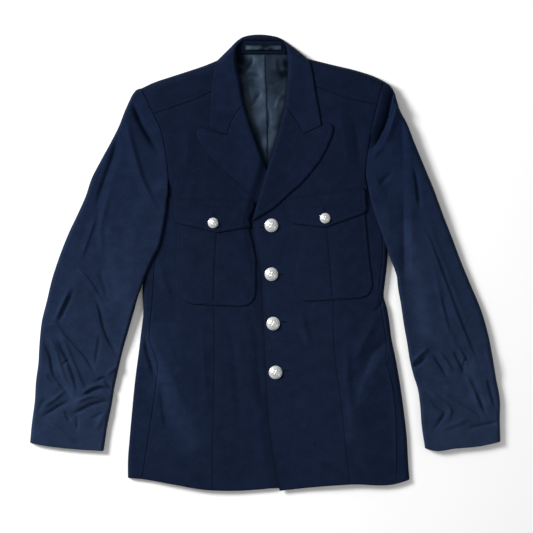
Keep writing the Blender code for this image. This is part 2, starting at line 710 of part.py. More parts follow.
def build_collar(collection, cloth, right, left):
    """Both leaves and the fall round the back neck, with the under collar beneath it."""
    back = smooth_line(COLLAR_BACK_EDGE)
    ring = close_ring(smooth_line(COLLAR_RIGHT_EDGE), back, smooth_line(COLLAR_LEFT_EDGE),
                      left.line["notch"][::-1], left.line["gorge"][::-1],
                      left.line["neck_roll"][::-1], stand_line(right, left)[::-1],
                      right.line["neck_roll"], right.line["gorge"], right.line["notch"])
    roll = join_lines(right.line["neck_roll"][::-1], stand_line(right, left),
                      left.line["neck_roll"])

    def over_body(points):
        depth = np.maximum(depth_in(points, right.body), depth_in(points, left.body))
        return depth > -SHOULDER_RADIUS / 2.0

    def roll_floor(points):
        low = table_value(ROLL_FLOORS, 1, points[:, 1])
        share = ramp((points[:, 1] - NECK_FLOOR_START) / 50.0)
        return (chest_height(points) - CLOTH) * (1.0 - share) + low * share

    def face(points):
        edge = quarter_round(distance_to(points, back) / NECK_RADIUS)
        away = distance_to(points, roll)
        rise = table_value(ROLL_RISES, 1, points[:, 1]) * np.exp(-(away / ROLL_SPREAD)**2)
        height = (chest_height(points) + 2 * LAYER_GAP + CLOTH + rise) * edge
        foot = np.minimum(roll_floor(points), height)
        return foot + (height - foot) * quarter_round(away / ROLL_RADIUS)

    def floor(points):
        edge = distance_to(points, back)
        support = (chest_height(points) + 2 * LAYER_GAP) * quarter_round(edge / NECK_RADIUS)
        support = np.where(over_body(points), support, CLOTH + LINING_CLOTH + 2 * LAYER_GAP)
        support = np.where(edge < FOLD_RINGS[0] + LAYER_GAP, 0.0, support)
        at_roll = distance_to(points, roll) < FOLD_RINGS[0] + LAYER_GAP
        return np.where(at_roll, np.minimum(roll_floor(points), support), support)

    lines = [reach_past(move_inside(roll, ring, depth)) for depth in FOLD_RINGS]
    lines += [move_inside(back, ring, depth) for depth in FOLD_RINGS]
    patch = Net(ring, lines, COLLAR_NET).piece()
    lower, upper = wall_below(face, patch[0], floor(patch[0]))
    build_cloth(collection, cloth, "collar", patch, lower, upper)

    ring = close_ring(move_inside(back, ring, UNDER_INSET)[1:-1], smooth_line(BACK_NECK)[::-1])
    patch = Net(ring, [], 3.0 * COLLAR_NET).piece()
    flat = np.zeros(len(patch[0]))
    build_cloth(collection, cloth, "undercollar", patch, flat, flat + CLOTH)


def move_inside(line, ring, depth):
    middle = beside(line, 3.0)[len(line) // 2]
    side = 1.0 if inside(middle[None], ring)[0] else -1.0
    return beside(line, side * depth)


def stand_face(points):
    return table_value(STAND_HEIGHTS, 1, points[:, 1])


def build_neck(collection, cloth, lining, satin, right, left):
    """The stand, the lining that shows under it and the hanging loop."""
    fold = stand_line(right, left)
    ring = close_ring(fold, straight_line([fold[-1], fold[0]]))
    patch = Net(ring, [], SMALL_NET).piece()
    floor = np.full(len(patch[0]), CLOTH + LAYER_GAP)
    lower, upper = wall_below(stand_face, patch[0], floor)
    build_cloth(collection, cloth, "collar_stand", patch, lower, upper)

    pleat = smooth_line(LINING_PLEAT)
    ring = close_ring(straight_line(LINING + LINING[:1]))
    patch = Net(ring, [beside(pleat, 5.0), pleat, beside(pleat, -5.0)], BODY_NET).piece()
    floor = np.full(len(patch[0]), CLOTH + LAYER_GAP)
    ridge = LINING_PLEAT_HEIGHT * (distance_to(patch[0], pleat) < 1.0)
    build_cloth(collection, lining, "back_lining", patch, floor, floor + LINING_CLOTH + ridge)

    loop = HANGER_LOOP
    corners = [(loop["right"], loop["low"]), (loop["left"], loop["low"]),
               (loop["left"], loop["high"]), (loop["right"], loop["high"])]
    ring = close_ring(straight_line(corners + corners[:1], 8.0))
    patch = Net(ring, [], SMALL_NET).piece()
    middle = 0.5 * (loop["left"] + loop["right"])
    half = 0.5 * (loop["left"] - loop["right"])
    arch = loop["arch"] * (1.0 - ((patch[0][:, 0] - middle) / half)**2)
    lower = stand_face(patch[0]) + LAYER_GAP + np.maximum(arch, 0.0)
    build_cloth(collection, satin, "hanger_loop", patch, lower, lower + LINING_CLOTH)


def build_button(collection, silver, name, size, x, y, seat):
    """A turned dome with a rim and a shallow ring, on a flat back."""
    width, height, rim = BUTTON_SIZES[size]
    radius = width / 2.0
    crown = radius - 1.2
    profile = [(0.0, height)]
    for share in (0.30, 0.60):
        profile.append((crown * share, rim + (height - rim) * math.sqrt(1.0 - share**2)))
    profile.append((crown * 0.67, rim + (height - rim) * math.sqrt(1.0 - 0.67**2) - 0.35))
    for share in (0.74, 0.93):
        profile.append((crown * share, rim + (height - rim) * math.sqrt(1.0 - share**2)))
    profile += [(crown, rim), (radius - 0.3, rim), (radius, rim - 0.4), (radius, 0.4),
                (radius - 0.4, 0.0), (0.0, 0.0)]
    data = bpy.data.meshes.new(name)
    points = [(r * MM, 0.0, z * MM) for r, z in profile]
    data.from_pydata(points, [(i, i + 1) for i in range(len(points) - 1)], [])
    data.materials.append(silver)
    item = bpy.data.objects.new(name, data)
    item.location = (x * MM, y * MM, seat * MM)
    collection.objects.link(item)
    screw = item.modifiers.new("turn", "SCREW")
    screw.steps = 16
    screw.render_steps = 16
    screw.use_merge_vertices = True
    screw.merge_threshold = 0.00005
    screw.use_smooth_shade = True
    return item


def button_seat(half, size, x, y):
    """Height of the cloth's highest point under a button."""
    radius = BUTTON_SIZES[size][0] / 2.0
    angles = np.linspace(0.0, 2.0 * math.pi, 16, endpoint=False)
    ring = np.column_stack([x + radius * np.cos(angles), y + radius * np.sin(angles)])
    top = half.body_face(np.vstack([ring, [(x, y)]])).max()
    if size == "pocket":
        top += 2 * LAYER_GAP + POCKET_CLOTH + FLAP_CLOTH
    return top + LAYER_GAP


def main():
    clear_scene()
    collection = make_collection()
    material = {name: make_material(name) for name in FINISHES}
    cloth = material["navy_wool"]
    left = Half(LEFT, 1.0)
    right = LappedHalf(RIGHT, -1.0, left)
    build_back(collection, cloth, right, left)
    build_body_half(collection, cloth, right, "right")
    build_body_half(collection, cloth, left, "left")
    build_sleeve(collection, cloth, right, RIGHT_SLEEVE_FOLDS, "right")
    build_sleeve(collection, cloth, left, LEFT_SLEEVE_FOLDS, "left")
    build_collar(collection, cloth, right, left)
    build_neck(collection, cloth, material["lining_satin"], material["loop_satin"], right, left)
    for name, (size, x, y) in BUTTONS.items():
        half = right if name == "pocket_button_right" else left
        seat = button_seat(half, size, x, y)
        build_button(collection, material["silver"], name, size, x, y, seat)


main()
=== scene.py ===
# %% [markdown]
# # A dress uniform jacket, laid flat on its back
#
# The jacket is wool twill, cut in panels, pressed and sewn. It lies face up with its sleeves
# beside it, so every panel can be described by two things: the flat outline that it was cut to,
# and how high its outer face lies over the floor. That is how this lesson builds all the cloth:
# a net of points fills each outline, and a height field lifts the net.
#
# The frame that is loaded here holds the plain solids of the same jacket. The finished pieces
# take their places, so their sizes and seams have to agree with them.

# %% Load the frame
import math

import bpy
import numpy as np
from mathutils.geometry import delaunay_2d_cdt
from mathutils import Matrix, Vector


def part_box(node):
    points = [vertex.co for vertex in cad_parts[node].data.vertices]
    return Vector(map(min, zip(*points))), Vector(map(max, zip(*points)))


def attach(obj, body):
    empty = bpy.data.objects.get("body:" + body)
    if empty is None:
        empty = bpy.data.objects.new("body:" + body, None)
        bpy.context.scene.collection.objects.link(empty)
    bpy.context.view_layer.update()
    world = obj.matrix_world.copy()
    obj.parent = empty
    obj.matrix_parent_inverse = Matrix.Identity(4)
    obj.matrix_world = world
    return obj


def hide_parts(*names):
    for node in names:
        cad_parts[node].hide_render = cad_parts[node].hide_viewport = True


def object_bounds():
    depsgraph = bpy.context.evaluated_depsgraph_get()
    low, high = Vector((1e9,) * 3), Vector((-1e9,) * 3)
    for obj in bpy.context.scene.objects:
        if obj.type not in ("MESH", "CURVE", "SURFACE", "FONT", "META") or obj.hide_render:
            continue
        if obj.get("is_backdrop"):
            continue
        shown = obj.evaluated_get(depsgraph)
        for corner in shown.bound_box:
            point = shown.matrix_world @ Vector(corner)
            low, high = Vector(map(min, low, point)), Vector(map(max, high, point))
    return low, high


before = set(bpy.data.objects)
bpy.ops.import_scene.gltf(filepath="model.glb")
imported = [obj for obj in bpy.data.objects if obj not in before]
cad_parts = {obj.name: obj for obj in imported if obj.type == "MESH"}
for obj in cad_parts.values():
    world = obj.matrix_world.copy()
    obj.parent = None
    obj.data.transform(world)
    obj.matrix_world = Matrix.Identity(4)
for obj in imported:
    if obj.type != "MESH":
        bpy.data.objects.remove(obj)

CAD_BOX = [list(corner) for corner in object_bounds()]
NODES = sorted(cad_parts)
print(len(NODES), "solids in", [round(v, 4) for v in CAD_BOX[0] + CAD_BOX[1]])

# %% [markdown]
# ## Sizes
#
# A tailor thinks in millimetres, so the tables do too, and `MM` turns them into metres at the
# last moment. The origin is the middle of the laid garment, +Y runs to the collar and +X to the
# wearer's left sleeve. The cloth is a thin wall: its outer face follows that of the solids, and
# its thickness is that of wool with its interlining.

# %% Driving sizes
MM = 0.001
CLOTH = 1.6
FLAP_CLOTH = 1.8
POCKET_CLOTH = 1.5
LINING_CLOTH = 0.9
SEAM_GAP = 0.3
LAYER_GAP = 0.3
LOOSE_GAP = 0.8
FOLD_FOOT = 2.6
UNDER_INSET = 2.1
SOLID_CLOTH = 2.0
FINE_NET = 3.0
UNDER_NET = 9.0
LINE_STEP = 4.0
LOW_DROP = 0.3           # how little the rims of sheets that hardly show are rounded off
print("cloth", CLOTH, "mm thick on a net of", FINE_NET, "mm")

# %% [markdown]
# ## The cut
#
# Every outline is a handful of points on the laid garment, joined by smooth curves. The wearer's
# right half shows on the left. The two halves have the same pieces, but nothing on a laid jacket
# is exactly symmetric, so each has its own table. A key names an edge or a seam, and its points
# run from the shoulder down, or from the side to the front.

# %% The right half
RIGHT = {
    "sleeve_outer": [(-402, -306), (-399, -274), (-394, -236), (-392, -202), (-388, -172),
                     (-386, -138), (-382, -100), (-373, -63), (-365, -29), (-353, 8), (-337, 49),
                     (-320, 85), (-307, 114), (-297, 144), (-281, 175), (-264, 206), (-249, 236),
                     (-241, 257), (-233, 275), (-227, 287), (-219, 296), (-212, 298)],
    "cuff": [(-402, -306), (-370, -312), (-324, -317), (-276, -320)],
    "sleeve_inner": [(-276, -320), (-269, -274), (-263, -245), (-257, -209), (-251, -182),
                     (-244, -151), (-234, -116), (-223, -78), (-212, -44), (-201, -14), (-191, 8),
                     (-181, 27), (-174, 54), (-169, 83), (-166, 110)],
    "armhole": [(-212, 298), (-201, 277), (-190, 253), (-179, 230), (-171, 196), (-166, 158),
                (-165, 133), (-166, 110)],
    "hook": [(-166, 110), (-171, 94), (-183, 82), (-201, 75)],
    "back_armhole": [(-208, 292), (-193, 235), (-186, 175), (-188, 124), (-201, 75)],
    "side_fold": [(-201, 75), (-205, 22), (-210, -46), (-209, -90), (-212, -114), (-216, -148),
                  (-223, -202), (-228, -253), (-232, -298), (-235, -338), (-235, -366)],
    "side_seam": [(-183, 82), (-184, 39), (-189, -8), (-192, -60), (-196, -105), (-197, -133),
                  (-190, -151), (-184, -172), (-186, -204), (-193, -257), (-202, -316),
                  (-210, -368)],
    "hem": [(-235, -366), (-210, -368), (-162, -376), (-105, -386), (-60, -388), (-14, -386),
            (33, -381)],
    "front_edge": [(40, 65), (36, -100), (35, -250), (33, -381)],
    "roll": [(-43, 311), (-40, 286), (-36, 269), (-26, 236), (-14, 201), (-6, 180), (3, 161),
             (20, 119), (40, 65)],
    "stand_side": [(-38, 379), (-48, 367), (-50, 356)],
    "neck_roll": [(-50, 356), (-48, 332), (-43, 311), (-40, 286), (-36, 269)],
    "shoulder": [(-212, 298), (-193, 307), (-161, 318), (-130, 328), (-101, 338), (-82, 346)],
    "under_collar": [(-82, 346), (-74, 335), (-70, 322), (-60, 314), (-43, 311)],
    "yoke_seam": [(-190, 253), (-157, 264), (-123, 276), (-93, 290), (-40, 312)],
    "gorge": [(-36, 269), (-44, 262), (-53, 248), (-60, 234), (-64, 217)],
    "notch": [(-64, 217), (-79, 221), (-95, 226)],
    "peak": [(-95, 226), (-108, 229), (-116, 226), (-117, 219), (-105, 194), (-84, 170),
             (-60, 147), (-39, 129), (-14, 106), (11, 87), (40, 65)],
    "pleat": [(-83, 48), (-86, 5), (-88, -62)],
    "shoulder_seam": [(-205, 292), (-191, 302), (-145, 315), (-84, 335)],
    "dart": [(-88, -74), (-87, -139), (-88, -212), (-90, -321), (-91, -392)],
}
print(len(RIGHT), "lines on the right half")

# %% The left half, which laps over the right one
LEFT = {
    "sleeve_outer": [(401, -304), (400, -267), (400, -231), (394, -199), (388, -162), (380, -121),
                     (368, -80), (351, -39), (334, 2), (319, 42), (303, 83), (288, 124),
                     (271, 165), (254, 206), (241, 239), (230, 259), (224, 277), (220, 291),
                     (213, 302), (202, 310)],
    "cuff": [(401, -304), (365, -312), (322, -316), (290, -320), (272, -316)],
    "sleeve_inner": [(272, -316), (266, -274), (264, -246), (260, -216), (252, -190), (246, -165),
                     (242, -139), (236, -105), (231, -71), (226, -42), (223, -19), (215, 0),
                     (207, 22), (196, 53), (185, 83), (178, 107), (174, 126)],
    "armhole": [(202, 310), (196, 292), (190, 269), (183, 241), (177, 209), (172, 175),
                (170, 150), (174, 126)],
    "hook": [(174, 126), (179, 107), (191, 92), (207, 85)],
    "back_armhole": [(200, 304), (186, 246), (181, 192), (188, 133), (207, 85)],
    "side_fold": [(207, 85), (209, 39), (208, 2), (204, -34), (202, -58), (207, -75), (211, -97),
                  (215, -128), (222, -162), (229, -202), (235, -243), (241, -294), (244, -345),
                  (246, -369)],
    "side_seam": [(191, 92), (199, 39), (198, -3), (194, -37), (194, -60), (198, -83),
                  (203, -114), (206, -138), (205, -165), (214, -196), (221, -240), (223, -284),
                  (224, -335), (223, -376)],
    "hem": [(246, -369), (223, -376), (145, -377), (101, -380), (59, -384), (24, -388)],
    "front_edge": [(-23, 71), (-20, 46), (-14, 10), (-8, -14), (-6, -49), (-4, -90), (-1, -158),
                   (1, -199), (5, -264), (11, -314), (20, -366), (24, -388)],
    "roll": [(37, 314), (35, 286), (34, 269), (28, 249), (24, 230), (17, 205), (5, 168),
             (-3, 141), (-12, 110), (-19, 87), (-23, 71)],
    "stand_side": [(26, 378), (34, 369), (37, 356)],
    "neck_roll": [(37, 356), (38, 335), (37, 314), (35, 286), (34, 269)],
    "shoulder": [(202, 310), (186, 318), (156, 328), (115, 338), (71, 349)],
    "under_collar": [(71, 349), (65, 338), (62, 326), (54, 318), (37, 314)],
    "yoke_seam": [(190, 269), (161, 274), (139, 279), (110, 290), (83, 300), (36, 315)],
    "gorge": [(34, 269), (43, 255), (55, 237), (65, 219)],
    "notch": [(65, 219), (79, 225), (95, 233)],
    "peak": [(95, 233), (103, 236), (110, 237), (115, 232), (115, 224), (108, 204), (95, 178),
             (79, 156), (59, 133), (38, 115), (11, 91), (-6, 81), (-23, 71)],
    "pleat": [(104, 58), (109, 5), (114, -56)],
    "shoulder_seam": [(196, 304), (161, 320), (127, 327), (72, 343)],
    "dart": [(116, -63), (116, -131), (121, -183), (128, -232), (133, -280), (140, -343),
             (145, -384)],
}
print(len(LEFT), "lines on the left half")

# %% Pockets and flaps, with their round corners
POCKETS = {
    "right": [(-22, 97), (-148, 100), (-149, 65), (-153, -11), (-154, -34), (-152, -48),
              (-147, -58), (-138, -66), (-125, -70), (-81, -72.5), (-41, -74), (-30, -72),
              (-22, -66), (-18, -58), (-16, -46), (-16, 6), (-21, 34), (-26, 52), (-29, 76),
              (-22, 90), (-22, 97)],
    "left": [(38, 97), (40, 65), (44, 10), (48, -44), (51, -54), (57, -61), (66, -65), (76, -65.5),
             (116, -62.5), (162, -60), (173, -56), (180, -48), (182.5, -36), (177, 5), (170, 81),
             (169, 117), (38, 97)],
}
FLAPS = {
    "right": [(-25, 61), (-83, 51), (-146, 66), (-152, 68.5), (-155, 73), (-155.5, 80),
              (-156, 108), (-18, 105), (-20, 91), (-28, 75), (-25, 61)],
    "left": [(36, 82), (37, 75), (41, 69.5), (48, 66), (101, 60), (165, 83), (170, 86.5),
             (172, 92), (169, 127), (29, 106), (36, 82)],
}
TACK_BOXES = {"right": (-105, -70, -70.5, -64.5), "left": (98, 133, -62, -56)}
print("pockets and flaps:", len(POCKETS) + len(FLAPS))

# %% Collar, back and neck
COLLAR_RIGHT_EDGE = [(-95, 226), (-94, 246), (-93, 270), (-92, 294), (-89, 318), (-86, 335),
                     (-82, 346)]
COLLAR_BACK_EDGE = [(-82, 346), (-69, 359), (-59, 369), (-49, 379), (-38, 386), (-26, 389),
                    (-6, 390), (11, 388), (23, 385), (33, 379), (47, 369), (60, 359), (71, 349)]
COLLAR_LEFT_EDGE = [(71, 349), (76, 337), (80, 321), (83, 303), (87, 279), (91, 260), (95, 233)]
BACK_HEM = [(-230, -363.5), (-210, -366), (-162, -374), (-105, -383), (-60, -385), (0, -385),
            (60, -382), (101, -378), (145, -375), (223, -374), (241, -366.5)]
BACK_NECK = [(-80, 341), (-45, 337), (0, 335), (38, 338), (69, 344)]
LINING = [(-56, 355.7), (43, 355.7), (52, 335), (50, 268), (38, 205), (14, 138), (-8, 138),
          (-40, 205), (-54, 268), (-62, 335)]
LINING_PLEAT = [(-1, 355), (0, 320), (2, 277), (3, 226), (3, 176), (3, 140)]
HANGER_LOOP = {"left": 28.0, "right": -35.0, "low": 362.0, "high": 371.0, "arch": 1.6}
print("back", BACK_HEM[-1][0] - BACK_HEM[0][0], "mm wide at the hem")

# %% [markdown]
# ## Smooth lines
#
# A curve through the points of a table is a Hermite curve: each point gets the direction of its
# neighbours, and the curve is sampled evenly. Even samples matter later, because they become the
# edge of a triangle net, and a net is only as even as its edge.

# %% Curves from a few points
def smooth_line(points, step=LINE_STEP):
    """Even samples of a smooth curve through given points."""
    knots = np.array(points, float)
    along = np.concatenate([[0.0], np.cumsum(np.linalg.norm(np.diff(knots, axis=0), axis=1))])
    if len(knots) > 2:
        tangents = np.gradient(knots, along, axis=0)
    else:
        tangents = np.repeat(np.diff(knots, axis=0) / along[-1], 2, axis=0)
    count = max(2, int(round(along[-1] / step)) + 1)
    samples = np.linspace(0.0, along[-1], count)
    span = np.clip(np.searchsorted(along, samples, side="right") - 1, 0, len(knots) - 2)
    length = along[span + 1] - along[span]
    t = ((samples - along[span]) / length)[:, None]
    leave = tangents[span] * length[:, None]
    arrive = tangents[span + 1] * length[:, None]
    return ((2 * t**3 - 3 * t**2 + 1) * knots[span] + (t**3 - 2 * t**2 + t) * leave
            + (3 * t**2 - 2 * t**3) * knots[span + 1] + (t**3 - t**2) * arrive)


def join_lines(*lines):
    """One line from several that meet end to start."""
    joined = [lines[0]]
    for line in lines[1:]:
        joined.append(line[1:] if np.allclose(joined[-1][-1], line[0]) else line)
    return np.vstack(joined)


def close_ring(*lines):
    """A ring whose first point is not repeated at its end."""
    ring = join_lines(*lines)
    return ring[:-1] if np.allclose(ring[0], ring[-1]) else ring


def cornered_line(points, step=LINE_STEP):
    """Straight runs from point to point, which keep their corners."""
    return join_lines(*[smooth_line(points[i:i + 2], step) for i in range(len(points) - 1)])


def beside(line, offset):
    """A line moved to its left, or to its right for a negative offset."""
    run = np.gradient(line, axis=0)
    run /= np.linalg.norm(run, axis=1)[:, None]
    return line + offset * np.column_stack([-run[:, 1], run[:, 0]])


def reach_past(line, length=4.0):
    """A line made a little longer at both ends."""
    start = line[0] - (line[1] - line[0]) / np.linalg.norm(line[1] - line[0]) * length
    end = line[-1] + (line[-1] - line[-2]) / np.linalg.norm(line[-1] - line[-2]) * length
    return np.vstack([start, line, end])


print("the side seam has", len(smooth_line(RIGHT["side_seam"])), "samples")

# %% [markdown]
# ## Distances
#
# Nearly everything on the jacket depends on how far a point is from some line: a rounded fold, a
# seam's groove, a crease. Measuring each of thousands of points against hundreds of short
# stretches would be slow, so a line is taken a few stretches at a time, and only the points
# within reach of those are measured. Farther points just get the reach as their distance.

# %% How far a point is from a line
CHUNK = 10               # stretches of a line that are measured together
BATCH = 4000             # points that are tested against a ring together
TINY = 1e-12             # keeps a length of nothing from being divided by
PROBE = 3.0              # how far beside a line its inner side is looked for
INSET_KEPT = 0.93        # share of the depth that a point of an inset line has to keep


def nearest(points, line, reach):
    """Distance to a line up to a reach, the place along it from 0 to 1, and the side."""
    lengths = np.linalg.norm(np.diff(line, axis=0), axis=1)
    along = np.concatenate([[0.0], np.cumsum(lengths)])
    distance = np.full(len(points), float(reach))
    place = np.zeros(len(points))
    side = np.ones(len(points))
    for first in range(0, len(line) - 1, CHUNK):
        part = line[first:first + CHUNK + 1]
        close = (points > part.min(0) - reach) & (points < part.max(0) + reach)
        near = np.flatnonzero(close.all(1))
        if not len(near):
            continue
        run = np.diff(part, axis=0)
        away = points[near][:, None, :] - part[None, :-1, :]
        share = np.clip((away * run).sum(2) / np.maximum((run * run).sum(1), TINY), 0.0, 1.0)
        gap = away - share[..., None] * run
        found = np.linalg.norm(gap, axis=2)
        best = found.argmin(1)
        rows = np.arange(len(near))
        closer = found[rows, best] < distance[near]
        chosen = near[closer]
        rows = rows[closer]
        best = best[closer]
        gone = along[first + best] + share[rows, best] * lengths[first + best]
        turn = run[best, 0] * away[rows, best, 1] - run[best, 1] * away[rows, best, 0]
        distance[chosen] = found[rows, best]
        place[chosen] = gone / along[-1]
        side[chosen] = np.where(turn >= 0.0, 1.0, -1.0)
    return distance, place, side


def distance_to(points, line, reach):
    return nearest(points, line, reach)[0]


def inside(points, ring):
    """Which points lie in a ring, by counting the edges to the right of each."""
    end = np.roll(ring, -1, axis=0)
    rise = np.where(end[:, 1] == ring[:, 1], TINY, end[:, 1] - ring[:, 1])
    slope = (end[:, 0] - ring[:, 0]) / rise
    found = np.zeros(len(points), bool)
    for first in range(0, len(points), BATCH):
        x = points[first:first + BATCH, 0][:, None]
        y = points[first:first + BATCH, 1][:, None]
        hits = ((ring[:, 1] > y) != (end[:, 1] > y)) & (x < ring[:, 0] + (y - ring[:, 1]) * slope)
        found[first:first + BATCH] = hits.sum(1) % 2 == 1
    return found


def depth_in(points, ring, reach):
    """Distance to a ring, positive inside it and negative outside."""
    closed = np.vstack([ring, ring[:1]])
    return np.where(inside(points, ring), 1.0, -1.0) * distance_to(points, closed, reach)


def inward(line, ring, depth):
    """A line moved into the ring that it borders."""
    probe = beside(line, PROBE)[len(line) // 2]
    side = 1.0 if inside(probe[None], ring)[0] else -1.0
    return beside(line, side * depth)


def inset(line, ring, depth):
    """The same with the points left out that a sharp corner would throw outside."""
    moved = inward(line, ring, depth)
    return moved[depth_in(moved, ring, depth + 2.0) > INSET_KEPT * depth]


print("distances ready")

# %% [markdown]
# ## Profiles
#
# Six small curves shape all the cloth. `ramp` goes smoothly from one level to another, `higher`
# joins two levels softly, `quarter_round` is the side view of a folded edge, `bell` fades to both
# sides of a line, `dip` is a groove as a seam or a row of stitches presses it, and `waves` is the
# slow unevenness of cloth that has been laid down by hand. The waves come from a seeded
# generator, so they are the same on every run.

# %% Curves that shape the cloth
def ramp(value):
    t = np.clip(value, 0.0, 1.0)
    return t * t * (3.0 - 2.0 * t)


def higher(first, second, passage):
    """The higher of two levels, with a soft passage from one to the other."""
    return 0.5 * (first + second + np.sqrt((first - second)**2 + passage**2))


def quarter_round(value):
    return np.sqrt(1.0 - (1.0 - np.clip(value, 0.0, 1.0))**2)


def round_edge(points, line, radius):
    """How far a folded edge has risen at each point, from 0 on its line to 1 beyond its radius."""
    return quarter_round(distance_to(points, line, radius) / radius)


def bell(value):
    return np.exp(-value**2)


def dip(points, line, width, depth):
    return -depth * bell(distance_to(points, line, 3.0 * width) / width)


def waves(points, seed, length, height, count=9):
    chance = np.random.default_rng(seed)
    total = np.zeros(len(points))
    for _ in range(count):
        angle = chance.uniform(0.0, 2.0 * math.pi)
        size = length * chance.uniform(0.6, 1.6)
        heading = np.array([math.cos(angle), math.sin(angle)]) * 2.0 * math.pi / size
        total += np.sin(points @ heading + chance.uniform(0.0, 2.0 * math.pi))
    return height * total / math.sqrt(count)


def table_value(table, column, place):
    return np.interp(place, [row[0] for row in table], [row[column] for row in table])


print("waves reach", round(float(waves(np.zeros((1, 2)), 1, 60, 1.0)[0]), 2), "mm at the middle")

# %% [markdown]
# ## A net of points
#
# A panel's outline is filled with an even lattice of triangles. Seams, folds and rows of stitches
# are drawn into the net as lines that triangles may not cross, so each one stays crisp however
# coarse the lattice is. Blender's constrained Delaunay triangulation does the joining. One net can
# be cut into several pieces, and pieces that are cut from one net match along their seam.

# %% Fill an outline
class Net:
    """A flat outline filled with an even net of points."""

    def __init__(self, ring, lines, spacing):
        loops = [np.vstack([ring, ring[:1]])] + list(lines)
        low = ring.min(0)
        high = ring.max(0)
        row_step = spacing * math.sqrt(3.0) / 2.0
        rows = np.arange(math.floor(low[1] / row_step), math.ceil(high[1] / row_step) + 1)
        columns = np.arange(math.floor(low[0] / spacing) - 1, math.ceil(high[0] / spacing) + 1)
        x = (columns[None, :] + 0.5 * (rows[:, None] % 2)) * spacing
        y = np.repeat(rows[:, None] * row_step, len(columns), axis=1)
        lattice = np.column_stack([x.ravel(), y.ravel()])
        lattice = lattice[inside(lattice, ring)]
        for loop in loops:
            lattice = lattice[distance_to(lattice, loop, spacing) > 0.5 * spacing]
        points = []
        edges = []
        for loop in loops:
            first = len(points)
            points.extend(loop.tolist())
            edges.extend((first + i, first + i + 1) for i in range(len(loop) - 1))
        points.extend(lattice.tolist())
        made = delaunay_2d_cdt(points, edges, [], 0, 1e-3)
        self.points = np.array([tuple(point) for point in made[0]])
        self.faces = np.array([face for face in made[2]])
        self.ring = ring

    def piece(self, ring=None, holes=()):
        """The patch of the net inside a ring and outside its holes."""
        centres = self.points[self.faces].mean(1)
        kept = inside(centres, self.ring)
        if ring is not None:
            kept &= inside(centres, ring)
        for hole in holes:
            kept &= ~inside(centres, hole)
        used, faces = np.unique(self.faces[kept], return_inverse=True)
        return Patch(self.points[used], faces.reshape(-1, 3))


# %% [markdown]
# A patch knows its own rim. The rim is drawn in by half of a seam's gap, so two pieces never
# touch, and `rim` measures how far each point is from it, which rounds the cut edge of the cloth.

# %% A patch of the net
RIM_REACH = 4.0
LEAST_SPREAD = 0.35      # keeps a sharp corner from being drawn in too far


class Patch:
    """Flat points and triangles of one piece of cloth."""

    def __init__(self, points, faces):
        self.points = points
        self.faces = faces
        edges = np.vstack([faces[:, [0, 1]], faces[:, [1, 2]], faces[:, [2, 0]]])
        code = np.sort(edges, axis=1) @ np.array([len(points), 1])
        _, index, count = np.unique(code, return_index=True, return_counts=True)
        self.border = edges[index[count == 1]]
        start, end = self.border.T
        along = points[end] - points[start]
        along /= np.linalg.norm(along, axis=1)[:, None]
        normal = np.column_stack([-along[:, 1], along[:, 0]])
        total = np.zeros_like(points)
        np.add.at(total, start, normal)
        np.add.at(total, end, normal)
        spread = np.maximum((total**2).sum(1) / 2.0, LEAST_SPREAD)
        self.drawn = points + 0.5 * SEAM_GAP * total / spread[:, None]
        first = points[faces[:, 1]] - points[faces[:, 0]]
        second = points[faces[:, 2]] - points[faces[:, 0]]
        turn = first[:, 0] * second[:, 1] - first[:, 1] * second[:, 0]
        self.area = float(np.abs(turn).sum() / 2.0)

    def rim(self):
        """Distance of each point to the patch's edge, up to a reach."""
        follow = {int(start): int(end) for start, end in self.border}
        distance = np.full(len(self.points), RIM_REACH)
        while follow:
            first = next(iter(follow))
            chain = [first]
            while chain[-1] in follow:
                chain.append(follow.pop(chain[-1]))
            distance = np.minimum(distance, distance_to(self.points, self.points[chain], RIM_REACH))
        return distance


trial = Net(np.array([(0.0, 0.0), (60.0, 0.0), (60.0, 40.0), (0.0, 40.0)]), [], FINE_NET).piece()
print("a trial patch has", len(trial.faces), "triangles and", round(trial.area), "mm2")

# %% [markdown]
# ## Wool
#
# The cloth is a dark navy twill: fine diagonal ribs about a millimetre apart, with a short nap
# that catches light at a grazing angle. Close to, the dye is not quite even. The ribs are a wave
# texture and the nap is noise, both read from Object coordinates, because every piece sits at
# the origin with its place in its mesh. A Mapping node turns the grain on pieces that were cut
# at another angle. The sheen is constant, so it is set on the shader's own sockets.

# %% Helpers for node trees
def new_material(name):
    material = bpy.data.materials.new(name)
    material.use_nodes = True
    return material, material.node_tree, material.node_tree.nodes["Principled BSDF"]


def set_inputs(tree, node, links):
    """Link the inputs of a node to other sockets, or set them where a plain value is given."""
    for socket, source in links:
        if isinstance(source, bpy.types.NodeSocket):
            tree.links.new(source, node.inputs[socket])
        else:
            node.inputs[socket].default_value = source


def add_node(tree, kind, links=(), **values):
    """A node whose inputs are set or linked, and whose other names are its settings."""
    node = tree.nodes.new(kind)
    for key, value in values.items():
        setattr(node, key, value)
    set_inputs(tree, node, links)
    return node


def object_place(tree, turn=0.0):
    """Object coordinates, turned about the vertical by an angle in degrees."""
    place = add_node(tree, "ShaderNodeTexCoord").outputs["Object"]
    links = [("Vector", place), ("Rotation", (0.0, 0.0, math.radians(turn)))]
    return add_node(tree, "ShaderNodeMapping", links).outputs["Vector"]


def noise(tree, place, scale, detail=2.0):
    links = [("Vector", place), ("Scale", scale), ("Detail", detail)]
    return add_node(tree, "ShaderNodeTexNoise", links).outputs["Fac"]


def between(tree, factor, low, high, start=0.0, end=1.0):
    """A value that goes from low to high while the factor goes from start to end."""
    links = [("Value", factor), ("From Min", start), ("From Max", end), ("To Min", low),
             ("To Max", high)]
    return add_node(tree, "ShaderNodeMapRange", links).outputs["Result"]


